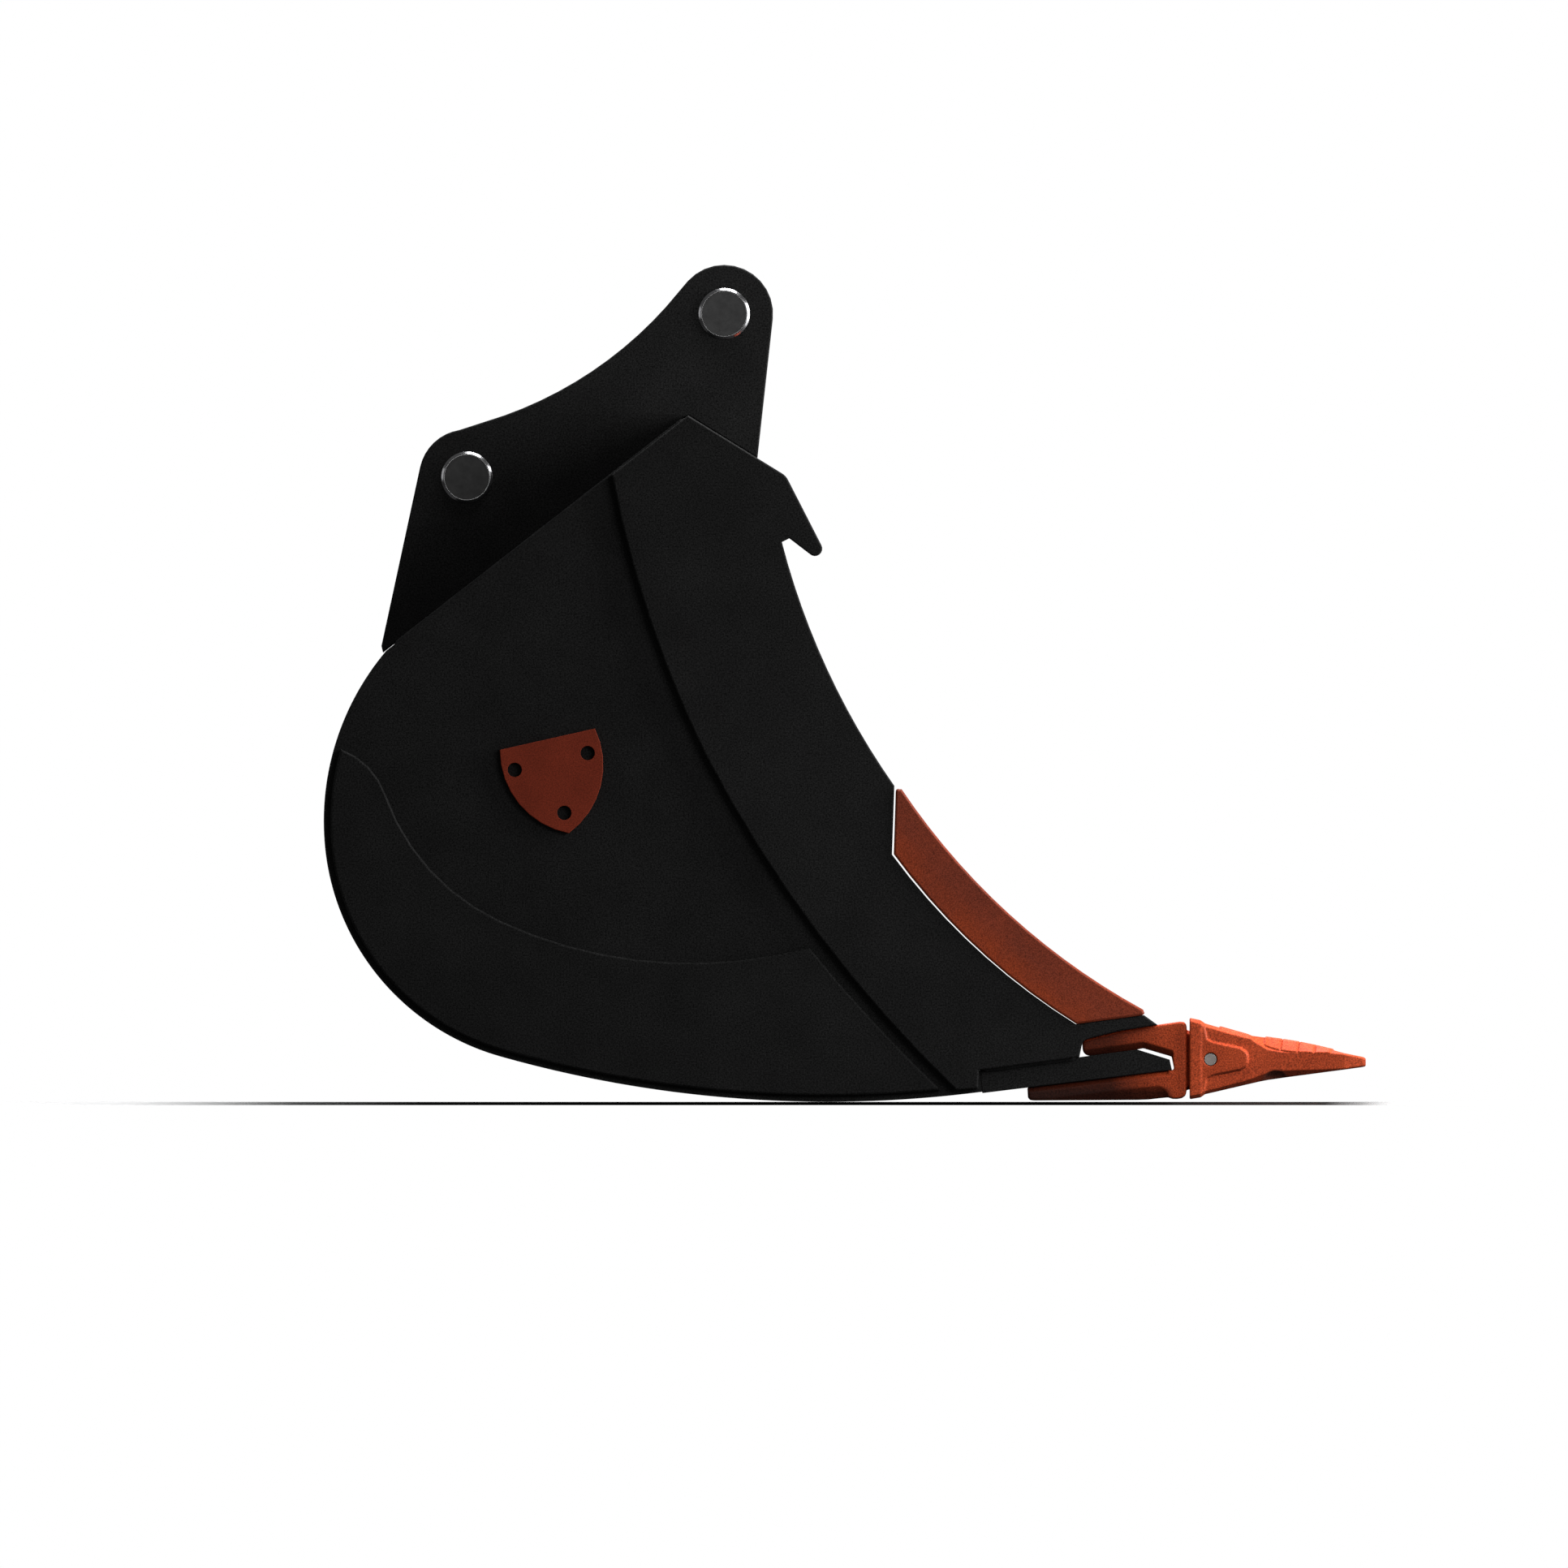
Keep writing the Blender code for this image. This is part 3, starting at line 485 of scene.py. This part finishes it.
def ring_rubber():
    return painted(
        "ring_rubber_finish", (0.012, 0.012, 0.012), (0.022, 0.022, 0.022), 0.75, 0.3,
        grain=900, cloud=60, relief=0.5,
    )


def weld_metal():
    return painted(
        "weld_finish", (0.011, 0.011, 0.0115), (0.020, 0.020, 0.0205), 0.48, 0.2,
        grain=600, cloud=60, relief=0.5,
    )


# ---------------------------------------------------------------- plates

def build_plates(black, cutter, badge):
    """Every plate, with the width in mm that its edges are rounded over."""
    for side, _ in SIDES:
        plate(f"side_plate_{side}", "black_paint", black, 0.5, insets=(0,))
        plate(f"side_bar_{side}", "black_paint", black, 0.7)
        plate(f"heel_wear_plate_{side}", "black_paint", black, 0.9, insets=(HEEL_INSET,))
        plate(f"ear_{side}", "black_paint", black, 0.7)
        plate(f"side_cutter_{side}", "red_cutter", cutter, 1.0)
        plate(f"badge_{side}", "badge_red", badge, 0.45, 2)
    plate("shell_plate", "black_paint", black, 1.0, 2, insets=(0, SHELL_THICKNESS))
    for node in ("roof_front_plate", "ceiling_plate"):
        plate(node, "black_paint", black, 1.0, 2)
    plate("lip_plate", "black_paint", black, 0.4, 2)
    plate("ear_tie_plate", "black_paint", black, 1.2)


# ---------------------------------------------------------------- pins and bushes

def pin_profile(radius, half, bevel):
    """From one flat end face to the other, with a rounded bevel at each."""
    end = [(0, -half), (radius * 0.5, -half), (radius - bevel * 1.3, -half)]
    end += [(radius - bevel * 1.15, -half), (radius - bevel * 0.55, -half + bevel * 0.18)]
    end += [(radius - bevel * 0.18, -half + bevel * 0.55), (radius, -half + bevel * 1.15)]
    return end + [(reach, -y) for reach, y in reversed(end)]


def bush_profile(node, sign):
    """A bush with a wide cone turned on its outer end, and a lip there that wipes the pin."""
    low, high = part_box(node)
    ends = sorted((low[1] / MM, high[1] / MM), key=abs)
    inner, outer = ends
    bore, lip, wide, tall = BIG_PIN_RADIUS + 0.5, BIG_PIN_RADIUS + 0.1, 34.25, 4.0
    crown = [
        (wide, 0.0), (wide, 1.0), (34.1, 1.2), (33.9, 1.4),
        (31.5, 3.7), (31.3, 3.9), (31.1, tall), (lip, tall), (lip, 3.0), (bore, 2.4),
    ]
    return (
        [(bore, inner), (wide, inner)]
        + [(radius, outer - sign * (tall - rise)) for radius, rise in crown]
        + [(bore, inner)]
    )


def build_pins(pin_steel, bush_steel):
    for name, centre in (("stick", STICK_PIN), ("link", LINK_PIN)):
        place = (centre[0] * MM, 0, centre[1] * MM)
        half = -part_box(f"{name}_pin")[0][1] / MM
        mesh = lathe(f"{name}_pin", pin_profile(BIG_PIN_RADIUS, half, 0.7))
        pin = new_piece(f"{name}_pin_skin", mesh, f"{name}_pin", "pin_steel", pin_steel, f"{name}_pin")
        pin.location = place
        for side, sign in SIDES:
            node = f"{name}_bush_{side}"
            bush = new_piece(
                f"{node}_skin", lathe(node, bush_profile(node, sign)), "bucket", "bush_steel",
                bush_steel, node,
            )
            bush.location = place


# ---------------------------------------------------------------- castings

def cast_mesh(shape, name, voxel, rounds, keep=0.32):
    """Turns sharp joined solids into one casting with fillets where its faces meet.

    voxel is in mm, more rounds give wider fillets, and keep is the share of triangles kept.
    """
    mesh = bpy.data.meshes.new(name)
    shape.to_mesh(mesh)
    shape.free()
    helper = bpy.data.objects.new(name, mesh)
    bpy.context.scene.collection.objects.link(helper)
    remesh = helper.modifiers.new("remesh", "REMESH")
    remesh.mode = "VOXEL"
    remesh.voxel_size = voxel * MM
    soften = helper.modifiers.new("soften", "SMOOTH")
    soften.factor = 0.5
    soften.iterations = rounds
    swell = helper.modifiers.new("swell", "DISPLACE")
    swell.strength = CAST_SWELL * MM
    swell.mid_level = 0
    thin = helper.modifiers.new("thin", "DECIMATE")
    thin.ratio = keep
    made = evaluated_mesh(helper, name)
    bpy.data.objects.remove(helper, do_unlink=True)
    made.shade_smooth()
    return made


def carve(shape, cutters):
    """The shape less each closed cutter mesh."""
    mesh = bpy.data.meshes.new("carved")
    shape.to_mesh(mesh)
    shape.free()
    target = bpy.data.objects.new("carved", mesh)
    bpy.context.scene.collection.objects.link(target)
    helpers = []
    for cutter in cutters:
        helper = bpy.data.objects.new("cutter", cutter)
        bpy.context.scene.collection.objects.link(helper)
        change = target.modifiers.new("carve", "BOOLEAN")
        change.object = helper
        change.operation = "DIFFERENCE"
        helpers.append(helper)
    made = evaluated_mesh(target, "carved")
    for helper in helpers + [target]:
        bpy.data.objects.remove(helper, do_unlink=True)
    result = bmesh.new()
    result.from_mesh(made)
    return result


def ellipsoid(centre, radii):
    """A closed mesh ball stretched along the axes, in mm."""
    shape = bmesh.new()
    bmesh.ops.create_icosphere(shape, subdivisions=4, radius=1.0)
    for vert in shape.verts:
        vert.co = Vector([(c + r * v) * MM for c, r, v in zip(centre, radii, vert.co)])
    mesh = bpy.data.meshes.new("ellipsoid")
    shape.to_mesh(mesh)
    shape.free()
    return mesh


def skin_patch(shape, tree, spine, reach, rise, x_start, x_end, slant, low_line, steps=(6, 28)):
    """A raised pad that wraps over a casting's top, from one side's low line to the other's."""
    rows_out, rows_in = [], []
    for i in range(steps[0] + 1):
        share = i / steps[0]
        row_out, row_in = [], []
        for k in range(steps[1] + 1):
            across = 2 * k / steps[1] - 1
            x = x_start + (x_end - x_start) * share
            z_mid = spine(x)
            low = math.atan2(low_line(x) - z_mid, reach)
            angle = math.pi / 2 + across * (math.pi / 2 - low)
            height = math.sin(angle)
            x += slant * (height - math.sin(low))
            origin = Vector((x * MM, 0, z_mid * MM))
            way = Vector((0, math.cos(angle), math.sin(angle)))
            hit, normal = outermost(tree, origin, way)
            row_out.append(shape.verts.new(hit + normal * rise * MM))
            row_in.append(shape.verts.new(hit - normal * 2.0 * MM))
        rows_out.append(row_out)
        rows_in.append(row_in)
    wrap_slab(shape, rows_out, rows_in)


def outermost(tree, origin, way):
    """Where a line from far outside towards an inner point first meets the surface."""
    hit, normal, _, _ = tree.ray_cast(origin + way * 0.2, -way)
    return hit, normal


def wrap_slab(shape, rows_out, rows_in):
    """Faces round the slab between two grids of points."""
    count = len(rows_out[0])
    for a, b in zip(range(len(rows_out)), range(1, len(rows_out))):
        for k in range(count - 1):
            shape.faces.new((rows_out[a][k], rows_out[a][k + 1], rows_out[b][k + 1], rows_out[b][k]))
            shape.faces.new((rows_in[b][k], rows_in[b][k + 1], rows_in[a][k + 1], rows_in[a][k]))
        shape.faces.new((rows_out[a][0], rows_out[b][0], rows_in[b][0], rows_in[a][0]))
        shape.faces.new((rows_out[b][-1], rows_out[a][-1], rows_in[a][-1], rows_in[b][-1]))
    for k in range(count - 1):
        shape.faces.new((rows_out[0][k + 1], rows_out[0][k], rows_in[0][k], rows_in[0][k + 1]))
        shape.faces.new((rows_out[-1][k], rows_out[-1][k + 1], rows_in[-1][k + 1], rows_in[-1][k]))


def centred_shape(node):
    """A casting's solid moved to the middle of the bucket."""
    low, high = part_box(node)
    middle = (low[1] + high[1]) / 2
    shape = clean_shape(node)
    bmesh.ops.translate(shape, verts=shape.verts, vec=(0, -middle, 0))
    return shape


def tooth_leaf_line(x):
    """The lower edge of the sloping flank on the tooth's upper side, in mm: steep, then level."""
    return 62.6 + 20.8 * math.exp(-(x - 548.0) / 21.5)


def tooth_casting():
    """The tooth with wear pads over its back, a scallop under each side and a tapered tip."""
    shape = centred_shape("tooth_1")
    tree = BVHTree.FromBMesh(shape)
    scallops = [
        ellipsoid((SCALLOP_CENTRE[0] / MM, side * 44.0, 20.0), (22.0, 20.0, 22.0)) for side in (-1, 1)
    ]
    shape = carve(shape, scallops + pin_clearance())
    pads, first, pitch, gap = 4, 558.5, 22.6, 3.0
    for i in range(pads):
        start = first + i * pitch
        skin_patch(
            shape, tree, spine=lambda x: 56.0 - (x - 550) * 0.03, reach=41.0, rise=1.5,
            x_start=start, x_end=start + pitch - gap, slant=6.0,
            low_line=lambda x: tooth_leaf_line(x) + 1.6,
        )
    return cast_mesh(shape, "tooth", voxel=0.8, rounds=4)


def pin_clearance():
    """Two short drills that countersink the pin's hole, so that a dark ring shows round it."""
    radius, depth, past = 9.0, 34.0, 60.0
    drills = []
    for start, end in ((-past, -depth), (depth, past)):
        drill = lathe("drill", [(0, start), (radius, start), (radius, end), (0, end)], 48)
        drill.transform(Matrix.Translation((TOOTH_PIN[0] * MM, 0, TOOTH_PIN[1] * MM)))
        drills.append(drill)
    return drills


def adapter_casting():
    return cast_mesh(centred_shape("adapter_1"), "adapter", voxel=0.9, rounds=6)


def build_castings(red, pin_steel, rubber):
    patterns = {"tooth": tooth_casting(), "adapter": adapter_casting()}
    for index in range(1, TOOTH_COUNT + 1):
        for kind, pattern in patterns.items():
            node = f"{kind}_{index}"
            low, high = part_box(node)
            mesh = pattern.copy()
            mesh.transform(Matrix.Translation((0, (low[1] + high[1]) / 2, 0)))
            new_piece(f"{node}_skin", mesh, "bucket", "red_casting", red, node)
        build_tooth_pin(index, pin_steel, rubber)
    for pattern in patterns.values():
        bpy.data.meshes.remove(pattern)


def build_tooth_pin(index, pin_steel, rubber):
    """The pin that locks a tooth on its adapter, and the ring that grips it."""
    node = f"tooth_pin_{index}"
    low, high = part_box(node)
    half = (high[1] - low[1]) / 2 / MM
    profile = pin_profile(TOOTH_PIN_RADIUS, half, 0.12)
    pin = new_piece(f"{node}_skin", lathe(node, profile, 64), node, "pin_steel", pin_steel, node)
    pin.location = (TOOTH_PIN[0] * MM, (low[1] + high[1]) / 2, TOOTH_PIN[1] * MM)
    ring = f"pin_retainer_{index}"
    low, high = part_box(ring)
    half = (high[1] - low[1]) / 2 / MM
    grip_bore = TOOTH_PIN_RADIUS + 0.1
    profile = [
        (grip_bore, 1.2 - half), (8.3, 0.3 - half), (9.4, -half), (11.6, -half), (12.3, 0.5 - half),
        (12.5, 1.4 - half), (12.5, half - 1.4), (12.3, half - 0.5), (11.6, half), (9.4, half),
        (8.3, half - 0.3), (grip_bore, half - 1.2), (grip_bore, 1.2 - half),
    ]
    grip = new_piece(f"{ring}_skin", lathe(ring, profile, 64), "bucket", "ring_rubber", rubber, ring)
    grip.location = (TOOTH_PIN[0] * MM, (low[1] + high[1]) / 2, TOOTH_PIN[1] * MM)


# ---------------------------------------------------------------- weld beads

def weld_bead(name, path, across, up, leg, material, pitch=4.6, spacing=1.3):
    """A rippled fillet in the corner between two plates.

    path runs along the corner in mm. across and up give, at each point, the two directions out of
    the corner along the plates.
    """
    points = even_path(path, spacing)
    shape = bmesh.new()
    rows = []
    arc_steps, root = 6, 0.8
    for i, point in enumerate(points):
        out_a, out_b = across(point), up(point)
        row = [shape.verts.new((point - (out_a + out_b) * root) * MM)]
        end_taper = min(1.0, (min(i, len(points) - 1 - i) + 1.5) / 6)
        for k in range(arc_steps + 1):
            share = k / arc_steps
            lag = 0.55 * math.sin(math.pi * share)
            wave = (i * spacing / pitch + lag) % 1.0
            ripple = 0.035 * (1 - wave) + 0.012 * math.sin(i * 0.113 + k)
            reach = leg * end_taper * (1 + ripple * 3)
            swell = 1 + 0.16 * math.sin(math.pi * share) + ripple
            angle = share * math.pi / 2
            chord = out_a * (1 - share) + out_b * share
            curve = out_a * math.cos(angle) + out_b * math.sin(angle)
            row.append(shape.verts.new((point + (chord * 0.45 + curve * 0.55) * reach * swell) * MM))
        rows.append(row)
    for near, far in zip(rows, rows[1:]):
        count = len(near)
        for k in range(count):
            m = (k + 1) % count
            shape.faces.new((near[k], near[m], far[m], far[k]))
    shape.faces.new(rows[0])
    shape.faces.new(rows[-1])
    bmesh.ops.recalc_face_normals(shape, faces=shape.faces)
    return new_piece(name, to_mesh(shape, name, 60), "bucket", "black_paint", material)


def shell_inside(point):
    """The direction off the shell's inner face at a point beside it."""
    x, z = point[0], point[2]
    for centre, lowest in ((FLOOR_CENTRE, FLOOR_TO_HEEL), (HEEL_CENTRE, HEEL_TO_REAR), (REAR_CENTRE, 0)):
        angle = angle_at(centre, (x, z))
        if angle >= lowest:
            break
    way = Vector((centre[0] - x, 0, centre[1] - z))
    return way.normalized()


def ceiling_arc():
    """The centre of the ceiling's curve, and the angle where its straight part begins."""
    reach = REAR_RADIUS - SHELL_THICKNESS - 0.6 - CEILING_RADIUS
    centre = polar(REAR_CENTRE, reach, CEILING_END)
    away = Vector(MOUTH_TOP) - Vector(centre)
    start = math.degrees(math.atan2(away.y, away.x) + math.acos(CEILING_RADIUS / away.length))
    return centre, start


def floor_inside_at(x):
    """The point on the floor's inner face at this distance forward."""
    radius = FLOOR_RADIUS - SHELL_THICKNESS
    return x, FLOOR_CENTRE[1] - math.sqrt(radius ** 2 - (x - FLOOR_CENTRE[0]) ** 2)


def inner_corner_path(y):
    """Along the cavity's corner, from below the ceiling round the shell to the lip."""
    inset = SHELL_THICKNESS
    shell = turn(REAR_CENTRE, REAR_RADIUS - inset, 174, HEEL_TO_REAR, 6)
    shell += turn(HEEL_CENTRE, HEEL_RADIUS - inset, HEEL_TO_REAR, FLOOR_TO_HEEL, 40)[1:]
    front = angle_at(FLOOR_CENTRE, floor_inside_at(LIP_REAR_TOP[0] - 1))
    shell += turn(FLOOR_CENTRE, FLOOR_RADIUS - inset, FLOOR_TO_HEEL, front, 40)[1:]
    return [(x, y, z) for x, z in shell]


def ceiling_path(y):
    centre, start = ceiling_arc()
    radius = CEILING_RADIUS - CEILING_THICKNESS
    arc = turn(centre, radius, start, CEILING_END + 2, 30)
    drop = Vector(arc[0]) - Vector(polar(centre, CEILING_RADIUS, start))
    mouth = Vector(MOUTH_TOP) + drop
    first = mouth + (Vector(arc[0]) - mouth).normalized() * 14
    return [(x, y, z) for x, z in [tuple(first)] + arc]


def below_ceiling(point):
    centre, start = ceiling_arc()
    angle = max(angle_at(centre, (point[0], point[2])), start)
    return Vector((-math.cos(math.radians(angle)), 0, -math.sin(math.radians(angle))))


def build_inner_welds(material):
    """The welds inside the cavity, and those under the side bars on the lip's ends."""
    for side, sign in SIDES:
        y = sign * SIDE_INNER
        inward = Vector((0, -sign, 0))
        weld_bead(
            f"weld_shell_{side}", inner_corner_path(y), lambda p: inward, shell_inside, 8.0, material,
        )
        weld_bead(f"weld_ceiling_{side}", ceiling_path(y), lambda p: inward, below_ceiling, 7.0, material)
        along_lip = (Vector(LIP_BEVEL) - Vector(LIP_REAR_TOP)).normalized()
        off_lip = Vector((-along_lip.y, 0, along_lip.x))
        ends = [Vector(LIP_REAR_TOP) + along_lip * reach for reach in (2, 130)]
        path = [Vector((end.x, y, end.y)) for end in ends]
        weld_bead(f"weld_lip_{side}", path, lambda p: inward, lambda p: off_lip, 6.0, material)
        path = [Vector((end.x, sign * LIP_END, end.y)) for end in ends]
        weld_bead(
            f"weld_lip_end_{side}", path, lambda p: -inward, lambda p: -off_lip, 3.5, material,
        )
    seam = floor_inside_at(LIP_REAR_TOP[0])
    reach = SIDE_INNER - 6.0
    path = [(seam[0], y, seam[1]) for y in (-reach, reach)]
    back, up = Vector((-1, 0, 0)), Vector((0, 0, 1))
    weld_bead("weld_lip_rear", path, lambda p: back, lambda p: up, 9.0, material)


def build_ear_welds(material):
    """Fillets along both faces of each ear's foot, and round the tie plate."""
    rear_drop = math.sqrt(REAR_RADIUS ** 2 - (ROOF_REAR_Z - REAR_CENTRE[1]) ** 2)
    roof_rear = Vector((REAR_CENTRE[0] - rear_drop, 0, ROOF_REAR_Z))
    peak = Vector((ROOF_PEAK[0], 0, ROOF_PEAK[1]))
    slope = (peak - roof_rear).normalized()
    off = Vector((-slope.z, 0, slope.x))
    start, end = roof_rear + slope * 14, peak - slope * 6
    for side, sign in SIDES:
        for face, y, way in (("outer", EAR_OUTER, 1), ("inner", EAR_INNER, -1)):
            shift = Vector((0, sign * y, 0))
            out = Vector((0, sign * way, 0))
            weld_bead(
                f"weld_ear_{side}_{face}", [start + shift, end + shift],
                lambda p, out=out: out, lambda p: off, 5.0 if way < 0 else 2.5, material,
            )
    tie_reach = EAR_INNER - 10.0
    for face, at, way in (("front", 361.5, 1), ("rear", 344.5, -1)):
        base = roof_rear + slope * at
        path = [base + Vector((0, y, 0)) for y in (-tie_reach, tie_reach)]
        weld_bead(f"weld_tie_{face}", path, lambda p, way=way: slope * way, lambda p: off, 8.0, material)


# ---------------------------------------------------------------- studio

def sunk_share(x):
    """How much of the floor's fall there is at this place along the bucket: none past its ends."""
    share = min((x + 1.10) / 0.10, (0.95 - x) / 0.10, 1.0)
    share = max(share, 0.0)
    return share * share * (3 - 2 * share)


def build_floor():
    """A pale sheet that falls away a little towards the camera, so that the shadow under the bucket,
    partly cast by the lamps and partly painted, shows edge-on.

    It bounces little light back up, as a small sheet in a dark room does.
    """
    fall, clear = -0.0044, 0.0002
    shape = bmesh.new()
    far, near, front = 9.0, 0.47, -0.50
    rows = [(far, 0), (near, 0), (front, fall), (-far, fall)]
    left, length, steps = -1.12, 2.10, 60
    across = [-far] + [left + length * i / steps for i in range(steps + 1)] + [far]
    grid = [
        [shape.verts.new((x, y, z * sunk_share(x) - clear)) for x in across] for y, z in rows
    ]
    for a, b in zip(grid, grid[1:]):
        for i in range(len(across) - 1):
            shape.faces.new((a[i], b[i], b[i + 1], a[i + 1]))
    bmesh.ops.recalc_face_normals(shape, faces=shape.faces)
    mesh = bpy.data.meshes.new("studio_floor")
    shape.to_mesh(mesh)
    shape.free()
    floor = bpy.data.objects.new("studio_floor", mesh)
    bpy.context.scene.collection.objects.link(floor)
    made, tree, shader = start_material("floor_finish", 0.8, 0.1)
    coords = object_coords(tree)
    pale = blend(tree, noise(tree, coords, 2.0), (0.74, 0.74, 0.745), (0.78, 0.78, 0.78))
    path = tree.nodes.new("ShaderNodeLightPath")
    # painted shadow: the floor's tone is darkened under the bucket, on top of the lamps' real shadow
    pale = blend(tree, painted_shadow_under_bucket(tree, coords), pale, (0.006, 0.006, 0.006))
    tone = blend(tree, path.outputs["Is Camera Ray"], (0.07, 0.07, 0.07), pale)
    tree.links.new(tone, shader.inputs["Base Color"])
    mesh.materials.append(made)


def painted_shadow_under_bucket(tree, coords):
    """A painted shadow under the bucket, fading softly to nothing round it: the shade where it stands."""
    parts = split(tree, coords)
    width = tree.nodes.new("ShaderNodeMath")
    width.operation = "ABSOLUTE"
    tree.links.new(parts["Y"], width.inputs[0])
    fades = [
        spread(tree, parts["X"], -0.95, -0.56, 0.0, 1.0),
        spread(tree, parts["X"], 0.80, 0.64, 0.0, 1.0),
        spread(tree, width.outputs[0], 0.62, 0.46, 0.0, 1.0),
    ]
    return product(tree, product(tree, fades[0], fades[1]), fades[2])


def build_light(name, place, target, size, power):
    lamp = bpy.data.lights.new(name, "AREA")
    lamp.shape = "RECTANGLE"
    lamp.size, lamp.size_y = size
    lamp.energy = power
    obj = bpy.data.objects.new(name, lamp)
    bpy.context.scene.collection.objects.link(obj)
    obj.location = place
    aim = Vector(target) - Vector(place)
    obj.rotation_euler = aim.to_track_quat("-Z", "Y").to_euler()


def build_world():
    """White where the camera looks past the object, and a dim grey for everything else."""
    world = bpy.data.worlds.new("studio")
    bpy.context.scene.world = world
    world.use_nodes = True
    tree = world.node_tree
    tree.nodes.clear()
    backdrop = tree.nodes.new("ShaderNodeBackground")
    backdrop.inputs["Color"].default_value = (1, 1, 1, 1)
    room = tree.nodes.new("ShaderNodeBackground")
    room.inputs["Color"].default_value = (1, 1, 1, 1)
    room.inputs["Strength"].default_value = 0.12
    path = tree.nodes.new("ShaderNodeLightPath")
    mix = tree.nodes.new("ShaderNodeMixShader")
    out = tree.nodes.new("ShaderNodeOutputWorld")
    tree.links.new(path.outputs["Is Camera Ray"], mix.inputs[0])
    tree.links.new(room.outputs[0], mix.inputs[1])
    tree.links.new(backdrop.outputs[0], mix.inputs[2])
    tree.links.new(mix.outputs[0], out.inputs["Surface"])


def build_studio():
    build_floor()
    build_world()
    middle = (0.0, 0.0, 0.45)
    build_light("key_above", (0.35, 0.2, 3.4), (0.35, 0.2, 0.0), (1.5, 1.9), 170)
    build_light("strip_right", (3.2, -0.8, 1.3), (0.2, -0.2, 0.7), (1.6, 2.4), 130)
    build_light("strip_left", (-3.4, -0.6, 1.2), middle, (1.0, 1.4), 4)
    build_light("strip_low", (1.6, -0.15, 0.5), (0.7, -0.1, 0.3), (1.0, 0.9), 7)
    build_light("fill_front", (1.8, -3.0, 1.25), (0.40, 0, 0.05), (1.8, 1.2), 34)
    build_light("fill_back", (0.0, 3.4, 3.0), middle, (3.2, 2.0), 60)
    bpy.context.scene.view_settings.view_transform = "Standard"


def build_camera():
    camera = bpy.data.cameras.new("camera")
    camera.type = "ORTHO"
    camera.ortho_scale = VIEW_WIDTH
    camera.clip_end = 50
    obj = bpy.data.objects.new("camera", camera)
    bpy.context.scene.collection.objects.link(obj)
    obj.location = (VIEW_CENTRE[0], -VIEW_DISTANCE, VIEW_CENTRE[1])
    obj.rotation_euler = (math.pi / 2, 0, 0)
    bpy.context.scene.camera = obj


def main():
    black = black_paint()
    pin_steel = turned_steel("pin_steel_finish", (0.12, 0.12, 0.12), 0.42, 1800, 0.1)
    tooth_steel = turned_steel("tooth_pin_finish", (0.52, 0.47, 0.44), 0.5, 2600, 0.1)
    bush_steel = turned_steel("bush_steel_finish", (0.40, 0.40, 0.41), 0.2, 2200, 0.03)
    build_camera()
    build_studio()
    build_plates(black, red_cutter(), badge_red())
    build_pins(pin_steel, bush_steel)
    build_castings(red_casting(), tooth_steel, ring_rubber())
    welds = weld_metal()
    build_inner_welds(welds)
    build_ear_welds(welds)


main()
